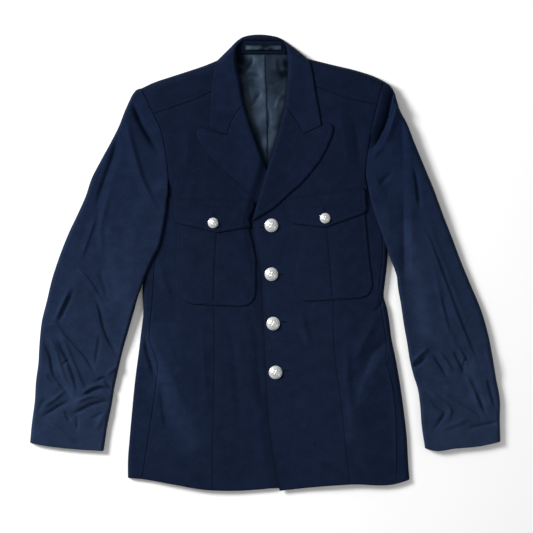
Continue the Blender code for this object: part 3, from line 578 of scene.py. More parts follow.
def blend(tree, factor, first, second):
    """A mix of two colours, whose sockets are the node's inputs 6 and 7."""
    links = [(0, factor), (6, first), (7, second)]
    return add_node(tree, "ShaderNodeMix", links, data_type="RGBA").outputs[2]


def attribute(tree, name):
    return add_node(tree, "ShaderNodeAttribute", attribute_name=name).outputs["Fac"]


def bump(tree, height, strength, distance, *below):
    """A bump, on top of another one where that is given."""
    links = [("Height", height), ("Strength", strength), ("Distance", distance)]
    links += [("Normal", normal) for normal in below]
    return add_node(tree, "ShaderNodeBump", links).outputs["Normal"]


# %% The navy twill
TWILL_SCALE = 290.0      # bands of about a millimetre
TWILL_TURN = 63.0
NAP_SCALE = 900.0
MOTTLE_SCALE = 420.0
DYE_SCALE = 55.0
NAVY_DARK = (0.0016, 0.0042, 0.0140)
NAVY_LIGHT = (0.0058, 0.0120, 0.0345)
# painted shade: the colour that edges, seams and shaded places are darkened towards
NAVY_SHADE_PAINT = (0.0007, 0.0014, 0.0045, 1.0)
CUFF_LIGHT_LIFT = (3.0, 2.4, 1.8)      # painted light: paler and less blue towards the cuffs, where the sleeves catch more light
# painted light as well: the body paler from the chest down
SKIRT_LIGHT_LIFT = (1.5, 1.4, 1.28)
CUFF_LIGHT_FADE = (220, -320, CUFF_LIGHT_LIFT)         # from, to, and how much paler
SKIRT_LIGHT_FADE = (170, -130, SKIRT_LIGHT_LIFT)
WHITE = (1.0, 1.0, 1.0, 1.0)
SHEEN_PAINT_GAIN = (1.9, 1.75, 1.6, 1.0)        # painted sheen: how much paler the wool is where pressed cloth catches the light


def scaled(colour, factor, lift=(1.0, 1.0, 1.0)):
    """A colour made lighter or darker, its channels lifted apart, and its alpha."""
    return tuple(v * factor * more for v, more in zip(colour, lift)) + (1.0,)


def make_wool(name, grain, tone=1.0, fade=None):
    """Twill of one grain direction. A fade paints light on it: lighter towards one end of the
    piece.
    """
    material, tree, shader = new_material(name)
    place = object_place(tree, grain)
    twill_place = object_place(tree, grain + TWILL_TURN)
    links = [("Vector", twill_place), ("Scale", TWILL_SCALE), ("Distortion", 1.2), ("Detail", 1.0)]
    twill = add_node(tree, "ShaderNodeTexWave", links, bands_direction="X").outputs["Fac"]
    nap = noise(tree, place, NAP_SCALE)
    dye = noise(tree, place, DYE_SCALE, 4.0)
    mottle = noise(tree, place, MOTTLE_SCALE, 3.0)
    shade = twill
    for more in (nap, mottle, dye):
        links = [(0, shade), (1, more)]
        shade = add_node(tree, "ShaderNodeMath", links, operation="ADD").outputs[0]
    shade = between(tree, shade, -1.18, 1.38, 0.0, 3.2)
    colour = blend(tree, shade, scaled(NAVY_DARK, tone), scaled(NAVY_LIGHT, tone))
    # painted light: the piece paler towards one end
    if fade:
        top, bottom, lift = fade
        links = [("Vector", object_place(tree))]
        height = add_node(tree, "ShaderNodeSeparateXYZ", links).outputs["Y"]
        spread = between(tree, height, 0.0, 1.0, top * MM, bottom * MM)
        paler = blend(tree, shade, scaled(NAVY_DARK, tone, lift), scaled(NAVY_LIGHT, tone, lift))
        colour = blend(tree, spread, colour, paler)
    # painted sheen: paler where pressed cloth catches the light
    links = [(0, colour), (1, blend(tree, attribute(tree, "polish"), WHITE, SHEEN_PAINT_GAIN))]
    colour = add_node(tree, "ShaderNodeVectorMath", links, operation="MULTIPLY").outputs[0]
    # painted shade on edges and seams, and where the cloth lies in shade
    seam = between(tree, attribute(tree, "seam_shade"), 0.0, 0.8)
    ribs = bump(tree, twill, 0.35, 0.00018)
    set_inputs(tree, shader, [
        ("Base Color", blend(tree, seam, colour, NAVY_SHADE_PAINT)),
        ("Roughness", between(tree, nap, 0.78, 0.92)),
        ("Normal", bump(tree, mottle, 0.6, 0.0004, ribs)),
        ("Specular IOR Level", 0.05),
        ("Sheen Weight", 0.02),
        ("Sheen Roughness", 0.45),
        ("Sheen Tint", (0.45, 0.58, 1.0, 1.0)),
    ])
    return material


# the tone of each copy is painted light: a piece that catches more light is a lighter copy of the
# one cloth
WOOL = {
    "right": make_wool("wool_body_right", -1.0, 0.9, SKIRT_LIGHT_FADE),
    "left": make_wool("wool_body_left", 1.0, 0.92, SKIRT_LIGHT_FADE),
    "sleeve_right": make_wool("wool_sleeve_right", 14.0, 1.2, CUFF_LIGHT_FADE),
    "sleeve_left": make_wool("wool_sleeve_left", -15.0, 1.3, CUFF_LIGHT_FADE),
    "lapel_right": make_wool("wool_lapel_right", 24.0, 1.05),
    "lapel_left": make_wool("wool_lapel_left", -24.0, 0.95),
    "collar": make_wool("wool_collar", 0.0, 1.05),
}
print(len(WOOL), "grain directions of one cloth")

# %% [markdown]
# ## Lining, loop and thread
#
# The lining is a dark grey-blue satin, cloudy, with painted shade where it lies in shade, which
# also takes its shine away, and a weave too fine to see except close to. The hanging loop is a
# satin tape with more contrast and painted shade along its edges. The sewing thread is navy and a
# little paler than the wool, that of the buttonholes nearly black.

# %% Satin and thread
# painted shade: the colour that the satin is darkened towards where it lies in shade
SATIN_SHADE_PAINT = (0.0006, 0.0020, 0.0050, 1.0)
WEAVE_SCALE = 620.0
FIBRE_SCALE = 2200.0


def make_satin(name, dark, light, roughness, cloud_scale):
    """Satin that is clouded from dark to light, with painted shade, dark and dull, where seam_shade
    is high.
    """
    material, tree, shader = new_material(name)
    place = object_place(tree)
    cloud = between(tree, noise(tree, place, cloud_scale), 0.0, 1.0, 0.34, 0.66)
    links = [("Vector", place), ("Scale", WEAVE_SCALE), ("Distortion", 0.6)]
    weave = add_node(tree, "ShaderNodeTexWave", links, bands_direction="Y").outputs["Fac"]
    # painted shade, which also dulls the satin's shine
    seam = attribute(tree, "seam_shade")
    colour = blend(tree, cloud, dark, light)
    set_inputs(tree, shader, [
        ("Base Color", blend(tree, between(tree, seam, 0.0, 0.97), colour, SATIN_SHADE_PAINT)),
        ("Roughness", between(tree, cloud, roughness + 0.06, roughness - 0.04)),
        ("Normal", bump(tree, weave, 0.2, 0.0001)),
        ("Specular IOR Level", between(tree, seam, 0.18, 0.02)),
        ("Specular Tint", (0.50, 0.74, 1.0, 1.0)),
    ])
    return material


def make_thread(name, dark, light):
    material, tree, shader = new_material(name)
    colour = blend(tree, noise(tree, object_place(tree), FIBRE_SCALE), dark, light)
    set_inputs(tree, shader, [("Base Color", colour), ("Roughness", 0.6),
                              ("Specular IOR Level", 0.12)])
    return material


LINING_SATIN = make_satin("lining_satin", (0.009, 0.016, 0.029, 1.0), (0.032, 0.047, 0.073, 1.0),
                          0.50, 38.0)
LOOP_SATIN = make_satin("loop_satin", (0.002, 0.006, 0.012, 1.0), (0.052, 0.082, 0.100, 1.0),
                        0.34, 60.0)
THREAD = make_thread("thread", (0.005, 0.010, 0.027, 1.0), (0.014, 0.024, 0.056, 1.0))
HOLE_THREAD = make_thread("hole_thread", (0.0004, 0.0010, 0.0030, 1.0), (0.001, 0.002, 0.006, 1.0))
print("satins:", LINING_SATIN.name, LOOP_SATIN.name)

# %% [markdown]
# ## A wall of cloth
#
# A piece of cloth is closed like a real one: an outer face, an inner face and a thin edge round
# them. The outer face is the height field, dropped a little towards the rim so that the edge
# looks rolled and not cut from card. Where the field is steep, the wall is measured across its
# slope, or a folded edge would be as thin as paper.
#
# Two values at each point steer the materials: `seam_shade` is painted shade, which darkens edges,
# seams and whatever lies in shade, and `polish` is a painted sheen, which makes wool paler
# where pressed cloth catches the light.

# %% Build a wall from a patch
PIECES = {}
EDGE_LEAST = 0.35
RIM_DROP = 0.5
RIM_RADIUS = 1.3
# painted shade: edges and seams are darkened in colour, this wide and this strong
SHADE_WIDTH = 1.0        # an edge or a seam is darker about this far
EDGE_SHADE = 0.55
SEAM_SHADE = 0.7
PRESSED_REACH = 6.0
PRESSED_DROP = 0.2       # share of the rim's drop that is left at a pressed seam
PRESSED_SHADE = 0.3      # and of its shade
MOST_LEAN = 3.5
PAINTED_SHEEN_LINES = [
    # radius, strength, line of a painted sheen, where pressed cloth catches the light
    (21, 0.8, [(-200, -130), (-180, -182), (-159, -233), (-140, -275), (-128, -300)]),
    (11, 0.6, [(186, -165), (165, -215), (148, -262), (140, -290)]),
    (13, 0.6, [(240, 60), (250, 0), (262, -60), (275, -120)]),
    (12, 0.5, [(345, -170), (356, -199), (366, -235)]),
    (12, 0.4, [(-345, -170), (-336, -205), (-322, -235)]),
    (9, 0.4, [(-272, 60), (-262, 0), (-255, -60)]),
]


def lean(field, points, reach=0.5):
    """How much steeper than flat a field is, as a length ratio."""
    across = field(points + (reach, 0.0)) - field(points - (reach, 0.0))
    along = field(points + (0.0, reach)) - field(points - (0.0, reach))
    return np.minimum(np.sqrt(1.0 + (across**2 + along**2) / (4.0 * reach**2)), MOST_LEAN)


def wall_below(field, points, floor, cloth=CLOTH):
    """Inner and outer faces of cloth that follows a field over a floor."""
    upper = np.maximum(field(points), floor + EDGE_LEAST)
    lower = np.maximum(floor, upper - cloth * lean(field, points))
    return lower, upper


def show(name, data):
    """Put a mesh, a light or a camera into the scene as an object."""
    thing = bpy.data.objects.new(name, data)
    bpy.context.scene.collection.objects.link(thing)
    return thing


def show_mesh(prefix, name, points, faces, material, **values):
    """An object of a smooth mesh, with a value at each point under each given name."""
    mesh = bpy.data.meshes.new(name)
    mesh.from_pydata(points.tolist(), [], faces)
    for key, numbers in values.items():
        mesh.attributes.new(key, "FLOAT", "POINT").data.foreach_set("value", numbers)
    mesh.shade_smooth()
    mesh.materials.append(material)
    return show(prefix + name, mesh)


def make_cloth(name, patch, lower, upper, material, rim_drop=RIM_DROP, pressed=(), seams=(),
               shade_paint=0.0):
    """A closed wall of cloth for the solid of its name.

    Pressed seams hardly drop at the rim and get little painted shade there. Seams inside the piece
    get painted shade, and so does whatever shade_paint gives. A sheet that hardly shows has None
    for its
    seams: it gets neither painted shade nor painted sheen.
    """
    rim = patch.rim()
    fall = rim_drop * (1.0 - quarter_round(rim / RIM_RADIUS))
    # painted shade along the rim
    shade = EDGE_SHADE * bell(rim / SHADE_WIDTH)
    for seam in pressed:
        beyond = ramp(distance_to(patch.points, seam, PRESSED_REACH) / PRESSED_REACH)
        fall = fall * (PRESSED_DROP + (1.0 - PRESSED_DROP) * beyond)
        shade = shade * (PRESSED_SHADE + (1.0 - PRESSED_SHADE) * beyond)
    upper = np.maximum(upper - fall, lower + EDGE_LEAST)
    count = len(patch.points)
    polish = np.zeros(count)
    if seams is None:
        shade = np.zeros(count)
    else:
        shade = np.maximum(shade, shade_paint)
        for seam in seams:
            away = distance_to(patch.points, seam, 4.0 * SHADE_WIDTH)
            shade = np.maximum(shade, SEAM_SHADE * bell(away / SHADE_WIDTH))
        # painted sheen along the listed lines
        for radius, strength, line in PAINTED_SHEEN_LINES:
            away = distance_to(patch.points, smooth_line(line), 2.5 * radius)
            polish = np.maximum(polish, strength * bell(away / radius))
    flat = patch.drawn * MM
    points = np.vstack([np.column_stack([flat, upper * MM]), np.column_stack([flat, lower * MM])])
    start, end = patch.border.T
    sides = np.column_stack([start + count, end + count, end, start])
    faces = patch.faces.tolist() + (patch.faces[:, ::-1] + count).tolist() + sides.tolist()
    piece = show_mesh("cloth_", name, points, faces, material, seam_shade=np.tile(shade, 2),
                      polish=np.tile(polish, 2))
    PIECES[name] = (piece, patch)
    print(name, len(faces), "faces, highest", round(float(upper.max()), 1), "mm")


def lay_hidden(name, ring, material, lie=None):
    """A sheet that hardly shows, flat on the floor or with its under face as a function says."""
    patch = Net(ring, [], UNDER_NET).piece()
    lower = lie(patch.points) if lie else np.zeros(len(patch.points))
    make_cloth(name, patch, lower, lower + CLOTH, material, LOW_DROP, seams=None)


# %% [markdown]
# ## The halves
#
# The front, the yoke, the side and the lapel of one half are cut from one net, so a half keeps
# all its lines and the rings that they close. The front edge of the right half passes under the
# left one.

# %% Close the rings of a half
FAR_CORNERS = {
    # corners of the left half that close a ring where its place doesn't matter
    "side_body": [(90, 60), (90, -370)],
    "yoke": [(20, 420), (280, 420)],
    "side": [(320, -420), (320, 82)],
    "beside_body": [(500, -420), (500, 115)],
}


def make_half(table, name, hand):
    """The lines of one half and the rings that they close."""
    line = {key: smooth_line(points) for key, points in table.items()}
    foot = int(np.argmin(np.linalg.norm(line["roll"] - line["gorge"][0], axis=1)))
    line["roll"][foot] = line["gorge"][0]
    body = close_ring(line["hem"], line["front_edge"][::-1], line["roll"][::-1],
                      line["under_collar"][::-1], line["shoulder"][::-1], line["armhole"],
                      line["hook"], line["side_fold"])
    lapel = close_ring(line["roll"][foot:], line["peak"][::-1], line["notch"][::-1],
                       line["gorge"][::-1])
    sleeve = close_ring(line["sleeve_outer"], line["armhole"], line["sleeve_inner"][::-1],
                        line["cuff"][::-1])
    far = {key: np.array(corners) * (hand, 1.0) for key, corners in FAR_CORNERS.items()}
    ring = {
        "body": body,
        "lapel": lapel,
        "sleeve": sleeve,
        "pocket": close_ring(cornered_line(POCKETS[name])),
        "flap": close_ring(cornered_line(FLAPS[name])),
        "side_body": close_ring(line["hook"][::-1], far["side_body"], line["side_fold"][::-1]),
        "yoke": np.vstack([reach_past(line["yoke_seam"]), far["yoke"]]),
        "side": np.vstack([reach_past(line["side_seam"]), far["side"]]),
        "beside_body": np.vstack([reach_past(line["side_fold"], 40.0), far["beside_body"]]),
        "roll_strip": np.vstack([reach_past(line["roll"]),
                                 reach_past(inward(line["roll"], body, FOLD_FOOT))[::-1]]),
    }
    return {"name": name, "hand": hand, "line": line, "ring": ring, "over": None}


left = make_half(LEFT, "left", 1.0)
right = make_half(RIGHT, "right", -1.0)
right["over"] = left
for half in (right, left):
    print(half["name"], "body ring of", len(half["ring"]["body"]), "points")

# %% [markdown]
# ## Creases
#
# A laid jacket is never smooth: the sleeves fold at the elbow and the cuff, and the body is
# pinched where it was pressed flat at the waist. The solids already have the main folds, so the
# first tables repeat those: half a fold's width, its height (a trough is negative) and the line
# that it follows. They are used at a share of that height, to make room for the finer creases on
# top of them. Each of those has a width to the left of its line and one to the right, because real
# creases have one steep side. They fade out at both ends, and the nets keep their lines, so
# pressed wool breaks into flat facets between them. The deep fold at the head of the left sleeve
# is only in the finer table, where it can have its steep side.

# %% Main folds
RIGHT_SLEEVE_FOLDS = [
    (9, -3.5, [(-224, 269), (-218, 248), (-207, 228), (-196, 211), (-182, 187)]),
    (12, 2.5, [(-235, 246), (-229, 201), (-213, 150), (-196, 116)]),
    (11, -2.2, [(-254, 209), (-259, 167), (-278, 124), (-290, 82), (-307, 31)]),
    (8, -2.6, [(-311, -27), (-276, -68)]),
    (9, -3.2, [(-290, -58), (-276, -104), (-251, -155)]),
    (10, 2.6, [(-322, -31), (-359, -104)]),
    (9, -2.2, [(-353, -114), (-303, -158), (-281, -196)]),
    (9, -2.4, [(-381, -120), (-359, -190), (-328, -231)]),
    (9, -2.2, [(-328, -258), (-300, -245), (-265, -237)]),
    (8, -1.8, [(-377, -260), (-349, -242), (-333, -236)]),
]
LEFT_SLEEVE_FOLDS = [
    (13, 2.5, [(227, 260), (232, 209), (237, 158), (235, 107), (237, 39)]),
    (9, -3.2, [(263, 82), (276, 39), (293, 5), (303, -31), (320, -76), (339, -126), (358, -168),
               (382, -221)]),
    (12, 2.2, [(286, -12), (298, -68), (314, -122), (331, -163)]),
    (9, -2.4, [(284, -153), (312, -196)]),
    (8, -2.0, [(249, -182), (273, -163)]),
    (9, -2.4, [(276, -229), (303, -256), (290, -283)]),
    (9, -2.2, [(301, -218), (361, -253), (369, -275)]),
]
BODY_FOLDS = [
    (10, -2.2, [(-206, -128), (-198, -156), (-186, -196)]),
    (24, 1.6, [(-137, -168), (-137, -284)]),
    (10, -2.2, [(203, -134), (176, -158)]),
    (14, 1.2, [(140, -158), (145, -284)]),
]
print(len(RIGHT_SLEEVE_FOLDS + LEFT_SLEEVE_FOLDS + BODY_FOLDS), "main folds")

# %% Creases of the right sleeve
RIGHT_SLEEVE_CREASES = [
    # left width, right width, height, line
    (4, 6, -3.0, [(-229, 280), (-220, 260), (-210, 236), (-196, 212), (-179, 187)]),
    (6, 10, 1.6, [(-239, 260), (-232, 223), (-222, 184), (-210, 144), (-195, 112), (-174, 70)]),
    (10, 5, -1.6, [(-251, 230), (-256, 192), (-268, 155), (-280, 121), (-290, 82)]),
    (7, 7, 1.0, [(-261, 133), (-271, 99), (-280, 56), (-276, 8)]),
    (4, 9, 1.2, [(-285, 87), (-302, 39), (-315, 2)]),
    (5, 5, -1.0, [(-285, -8), (-275, -34), (-269, -63)]),
    (3, 6, 1.5, [(-322, -8), (-305, -24), (-290, -46), (-275, -70)]),
    (6, 3, -1.7, [(-293, -49), (-283, -76), (-275, -110), (-261, -141), (-246, -162)]),
    (5, 4, 1.5, [(-329, -36), (-344, -68), (-361, -105)]),
    (4, 7, -1.2, [(-324, -42), (-337, -71), (-354, -107)]),
    (4, 4, 1.2, [(-377, -110), (-361, -105), (-339, -128), (-315, -151), (-293, -178)]),
    (4, 5, -2.2, [(-360, -116), (-343, -151), (-332, -175), (-322, -207), (-319, -233)]),
    (4, 4, 1.5, [(-353, -112), (-336, -148), (-324, -177), (-310, -212), (-302, -233)]),
    (5, 3, -1.8, [(-349, -112), (-327, -136), (-303, -165), (-285, -196)]),
    (4, 4, -1.9, [(-382, -121), (-366, -158), (-358, -192), (-343, -212), (-326, -235)]),
    (4, 4, 1.2, [(-373, -117), (-356, -151), (-346, -185), (-332, -219)]),
    (3, 3, -0.9, [(-346, -175), (-339, -168), (-332, -163)]),
    (4, 4, -1.0, [(-281, -117), (-285, -148), (-290, -178)]),
    (3, 5, 1.4, [(-271, -189), (-261, -182), (-247, -172)]),
    (3, 4, -1.6, [(-293, -206), (-275, -196), (-264, -212), (-254, -228)]),
    (4, 3, 1.2, [(-315, -226), (-298, -212), (-276, -207), (-264, -212)]),
    (4, 4, -1.7, [(-317, -230), (-295, -218), (-275, -214), (-258, -231)]),
    (4, 4, -1.5, [(-382, -262), (-363, -252), (-349, -243), (-329, -235)]),
    (4, 4, 1.2, [(-383, -246), (-366, -236), (-349, -223), (-336, -212)]),
    (5, 3, -1.9, [(-332, -260), (-315, -252), (-297, -243), (-261, -235)]),
    (4, 4, 1.3, [(-326, -240), (-309, -230), (-285, -226), (-268, -236)]),
    (3, 3, -1.5, [(-343, -250), (-337, -260), (-332, -272)]),
    (4, 5, 1.3, [(-378, -262), (-356, -279), (-337, -294), (-317, -311)]),
    (3, 3, -1.1, [(-322, -257), (-320, -270), (-320, -286)]),
    (4, 4, -1.0, [(-373, -189), (-363, -199), (-354, -207)]),
    (5, 5, -0.9, [(-390, -257), (-380, -241), (-373, -228)]),
    (4, 4, -0.9, [(-298, -267), (-285, -260), (-271, -253)]),
    (6, 6, 0.9, [(-290, -287), (-280, -267), (-268, -246)]),
]
print(len(RIGHT_SLEEVE_CREASES), "creases on the right sleeve")

# %% Creases of the left sleeve
LEFT_SLEEVE_CREASES = [
    # left width, right width, height, line
    (1.2, 15, -4.2, [(210, 318), (217, 296), (213, 270), (207, 241), (196, 216), (184, 197),
                     (171, 189)]),
    (8, 3, 1.6, [(222, 304), (224, 277), (215, 240), (205, 212), (191, 192)]),
    (8, 14, -1.4, [(229, 270), (232, 226), (234, 175), (234, 130)]),
    (10, 20, -2.2, [(234, 150), (235, 73), (236, 19), (238, -50)]),
    (5, 5, -0.9, [(218, 158), (205, 144), (190, 128)]),
    (5, 5, 0.9, [(181, 175), (190, 189), (203, 199)]),
    (5, 4, -1.8, [(251, 168), (256, 144), (259, 121), (263, 87)]),
    (4, 11, 2.0, [(261, 90), (269, 60), (283, 26), (297, -12), (314, -58), (331, -104),
                  (351, -151), (371, -199)]),
    (6, 10, 0.9, [(273, 83), (286, 42), (303, -2), (324, -56), (348, -114)]),
    (6, 6, 1.2, [(283, 2), (297, -56), (312, -110), (331, -162)]),
    (5, 4, -1.2, [(297, -46), (309, -94), (319, -134)]),
    (5, 5, -1.9, [(244, -185), (258, -172), (276, -160)]),
    (4, 5, 1.4, [(246, -172), (263, -155), (280, -141)]),
    (3, 4, -1.8, [(283, -151), (297, -172), (312, -197)]),
    (4, 4, 1.4, [(292, -148), (307, -168), (320, -189)]),
    (4, 3, -1.8, [(319, -148), (329, -167), (337, -185)]),
    (3, 4, 1.5, [(327, -144), (337, -162), (343, -178)]),
    (3, 3, -1.6, [(343, -156), (337, -175), (336, -190)]),
    (5, 5, 1.8, [(337, -185), (348, -206), (358, -230), (366, -250)]),
    (4, 3, -1.7, [(356, -216), (366, -238), (378, -262)]),
    (4, 4, -1.5, [(377, -189), (383, -216), (394, -253)]),
    (3, 5, -1.5, [(275, -224), (290, -240), (305, -255), (295, -274), (286, -287)]),
    (4, 4, 1.3, [(273, -212), (293, -230), (314, -250), (307, -274)]),
    (4, 4, -1.2, [(300, -216), (324, -231), (348, -246), (361, -255), (370, -277)]),
    (4, 4, -1.3, [(337, -286), (356, -279), (377, -275), (402, -269)]),
    (5, 5, 1.0, [(297, -284), (322, -274), (348, -264)]),
    (5, 5, 1.0, [(371, -138), (382, -168), (392, -202)]),
    (6, 6, -0.9, [(271, -196), (290, -206), (314, -212)]),
]
print(len(LEFT_SLEEVE_CREASES), "creases on the left sleeve")

# %% Creases of the body
BODY_CREASES = [
    # left width, right width, height, line
    (5, 5, -2.4, [(-208, -121), (-201, -148), (-193, -175), (-184, -202)]),
    (9, 26, 1.0, [(-208, -119), (-186, -143), (-171, -168), (-149, -219), (-128, -275)]),
    (10, 5, -1.2, [(-179, -206), (-174, -246), (-166, -291)]),
    (8, 8, 1.0, [(-183, 2), (-173, -29), (-159, -70)]),
    (5, 5, -1.0, [(-191, -90), (-176, -100), (-159, -107)]),
    (12, 10, -1.0, [(-26, -63), (-16, -131), (-11, -199), (-6, -267)]),
    (8, 8, 0.6, [(-111, -83), (-105, -165), (-101, -267)]),
    (12, 8, -0.9, [(147, 257), (156, 209), (161, 150)]),
    (14, 14, 0.8, [(120, 277), (133, 226), (140, 158)]),
    (12, 10, -1.3, [(213, -124), (201, -139), (184, -153), (173, -175), (164, -206)]),
    (9, 12, 1.2, [(191, -83), (178, -114), (164, -141), (147, -175)]),
    (8, 14, 1.1, [(137, -131), (139, -185), (144, -240), (147, -287)]),
    (4, 5, 0.7, [(218, -114), (208, -139), (207, -168), (213, -199), (220, -250), (222, -318),
                 (222, -386)]),
    (4, 4, -1.2, [(201, -60), (195, -73), (183, -85)]),
    (7, 7, 0.8, [(59, -76), (67, -114), (79, -151)]),
    (14, 14, 0.7, [(-137, 243), (-132, 192), (-135, 141)]),
    (10, 10, -0.6, [(-60, -97), (-50, -182), (-43, -284)]),
    (14, 16, 0.9, [(190, -150), (172, -195), (155, -245), (145, -285)]),
]
CREASE_ROUND = 0.3
FACET_SHARE = 1.6        # the cloth beside a crease is nearly flat as far as this many widths
FACET_POWER = 1.3
CREASE_STEP = 3.0
CREASE_FADE = 0.32
STEEP_WIDTH = 2.0        # a crease narrower than this has a second net line beside it
STEEP_FOOT = 0.8
CREASE_GAIN = 2.5        # how much higher than their tables the finer creases are
CREASE_SQUEEZE = 0.8     # and how much narrower
FOLD_SHARE = 0.45        # the main folds are broad, so they get lower to make room for them


def crease_heights(points, folds, creases):
    """Main folds and, on top of them, creases with one steep side that fade at their ends."""
    total = np.zeros(len(points))
    for half_width, height, line in folds:
        distance = distance_to(points, smooth_line(line), 3.0 * half_width)
        total += FOLD_SHARE * height * bell(distance / half_width)
    for left_width, right_width, height, line in creases:
        reach = 3.0 * max(left_width, right_width)
        distance, place, side = nearest(points, smooth_line(line, CREASE_STEP), reach)
        width = CREASE_SQUEEZE * np.where(side > 0.0, left_width, right_width)
        away = np.sqrt(distance**2 + CREASE_ROUND**2) - CREASE_ROUND
        fade = ramp(place / CREASE_FADE) * ramp((1.0 - place) / CREASE_FADE)
        facet = np.clip(1.0 - away / (FACET_SHARE * width), 0.0, 1.0)**FACET_POWER
        total += CREASE_GAIN * height * fade * facet
    return total


def crease_lines(creases, ring):
    """The creases that lie in a ring, as lines for its net, two where one side is steep."""
    lines = []
    for left_width, _, _, points in creases:
        line = smooth_line(points, CREASE_STEP)
        if inside(line[len(line) // 2][None], ring)[0]:
            lines += [line] if left_width > STEEP_WIDTH else [line, beside(line, STEEP_FOOT)]
    return lines


print(len(BODY_CREASES), "creases on the body")

# %% [markdown]
# ## The lie of the body
#
# The body's height rises from the front edge out to the chest, then falls a little to the side,
# where the cloth folds round under itself. These heights are those of the solids. The right half
# dips where the left one laps over it, on a slope that is longer here than on the solids.

# %% Heights of the body
BODY_HEIGHTS = [
    # place, at the front edge, at mid chest
    (-390, 9.0, 11.5),
    (-200, 10.0, 13.5),
    (0, 11.0, 15.0),
    (100, 12.0, 17.0),
    (200, 13.0, 19.5),
    (300, 16.0, 23.0),
    (335, 17.0, 24.0),
    (352, 13.0, 24.0),
    (368, 8.0, 20.0),
    (390, 5.0, 20.0),
]
CENTRE_HALF_WIDTH = 20.0
CENTRE_TO_CHEST = 110.0
SIDE_SLOPE_WIDTH = 80.0
SIDE_SLOPE_SHARE = 0.25
SIDE_FOLD_RADIUS = 7.0
SHOULDER_RADIUS = 15.0
LAP_RAMP = 18.0
LAP_MARGIN = 1.0
LAP_DEPTH = 2.7
LAPEL_LAP_DEPTH = 5.2
LAP_DEPTH_PLACES = (15.0, 62.0)
BODY_WAVES = (11, 110.0, 0.30)      # seed, length, height


def chest_height(points):
    """Height of the body from the front edge out to the chest, along its length."""
    centre = table_value(BODY_HEIGHTS, 1, points[:, 1])
    chest = table_value(BODY_HEIGHTS, 2, points[:, 1])
    out = (np.abs(points[:, 0]) - CENTRE_HALF_WIDTH) / CENTRE_TO_CHEST
    return centre + (chest - centre) * ramp(out)


def plateau(half, points):
    """Outer face of the body before its edges are rounded."""
    fold = distance_to(points, half["line"]["side_fold"], SIDE_SLOPE_WIDTH)
    fold = np.where(inside(points, half["ring"]["beside_body"]), 0.0, fold)
    return chest_height(points) * (1.0 - SIDE_SLOPE_SHARE * (1.0 - ramp(fold / SIDE_SLOPE_WIDTH)))


def covered(half, points):
    """How far a point of the right half is under the left one, from 0 to 1."""
    if half["over"] is None:
        return np.zeros(len(points))
    depth = depth_in(points, half["over"]["ring"]["body"], LAP_RAMP + 2.0)
    return ramp((depth + LAP_RAMP) / (LAP_RAMP - LAP_MARGIN))


def body_face(half, points):
    """Outer face of the front, the yoke and the side, without seams."""
    side = distance_to(points, half["line"]["side_fold"], 3.0 * SIDE_FOLD_RADIUS)
    bumps = crease_heights(points, BODY_FOLDS, BODY_CREASES) + waves(points, *BODY_WAVES)
    bumps = np.where(bumps > 0.0, bumps * ramp(side / (3.0 * SIDE_FOLD_RADIUS)), bumps)
    height = (plateau(half, points) + bumps) * quarter_round(side / SIDE_FOLD_RADIUS)
    height = height * round_edge(points, half["line"]["shoulder"], SHOULDER_RADIUS)
    lap = np.interp(points[:, 1], LAP_DEPTH_PLACES, (LAP_DEPTH, LAPEL_LAP_DEPTH))
    return height - lap * covered(half, points)


chest = np.array([(120.0, 180.0)])
print("height at the left chest", round(float(body_face(left, chest)[0]), 1), "mm")

# %% [markdown]
# ## Seams and rows of stitches
#
# A pressed seam is a narrow groove. At the yoke, the upper panel is folded over the lower one and
# stitched down, so the cloth steps down just below the seam. A row of topstitching pulls the
# cloth into a soft dimple as well. `STITCH_ROWS` collects every row with the field it lies on,
# and the stitches themselves are sewn at the end.

# %% Grooves and dimples
SEAM_WIDTH = 1.2
SEAM_DEPTH = 0.45
ARMHOLE_WIDTH = 1.6
ARMHOLE_DEPTH = 0.5
STITCH_WIDTH = 1.0
STITCH_DEPTH = 0.3
TOPSTITCH_INSET = 6.5
LAPEL_STITCH_INSET = 8.0
YOKE_STITCH = 5.0
STEP_WIDTH = 5.0
STEP_DEPTH = 0.7
STITCH_ROWS = {}


def seam_dips(half, points):
    """Grooves of the seams of one body half."""
    line = half["line"]
    total = dip(points, line["side_seam"], SEAM_WIDTH, SEAM_DEPTH)
    for key in ("shoulder_seam", "dart"):
        total += dip(points, line[key], SEAM_WIDTH, SEAM_DEPTH)
    total += dip(points, line["armhole"], ARMHOLE_WIDTH, ARMHOLE_DEPTH)
    distance = distance_to(points, line["yoke_seam"], 3.0 * STEP_WIDTH)
    below = ~inside(points, half["ring"]["yoke"])
    return total - STEP_DEPTH * below * bell(distance / STEP_WIDTH)


def stitch_dips(points, rows):
    total = np.zeros(len(points))
    for row in rows:
        total += dip(points, row, STITCH_WIDTH, STITCH_DEPTH)
    return total


def beside_lines(line, offsets):
    """Lines that keep a net fine on both sides of a seam or a row."""
    return [reach_past(beside(line, offset)) for offset in offsets]


def front_stitch_row(half):
    """The row along the front edge, which only the lapping half shows."""
    if half["over"] is not None:
        return []
    return [inset(half["line"]["front_edge"], half["ring"]["body"], TOPSTITCH_INSET)]


def yoke_stitch_row(half):
    """The row just above the yoke seam."""
    return beside(half["line"]["yoke_seam"], YOKE_STITCH * -half["hand"])


def keep_fine(rows):
    """Net lines along each row and on both sides of it."""
    return [near for row in rows for near in [row] + beside_lines(row, (-1.3, 1.3))]


print("front row of", len(front_stitch_row(left)[0]), "points")

# %% [markdown]
# ## The body
#
# The buttons are read from the frame, because each one also presses a shallow dimple into the
# cloth under it. Then one net for each half gives its front, yoke, side and lapel.

# %% Where the buttons sit
BUTTON_NAMES = [name for name in NODES if "button" in name]
DIMPLE_DEPTH = 0.3
DIMPLE_SPREAD = 1.3


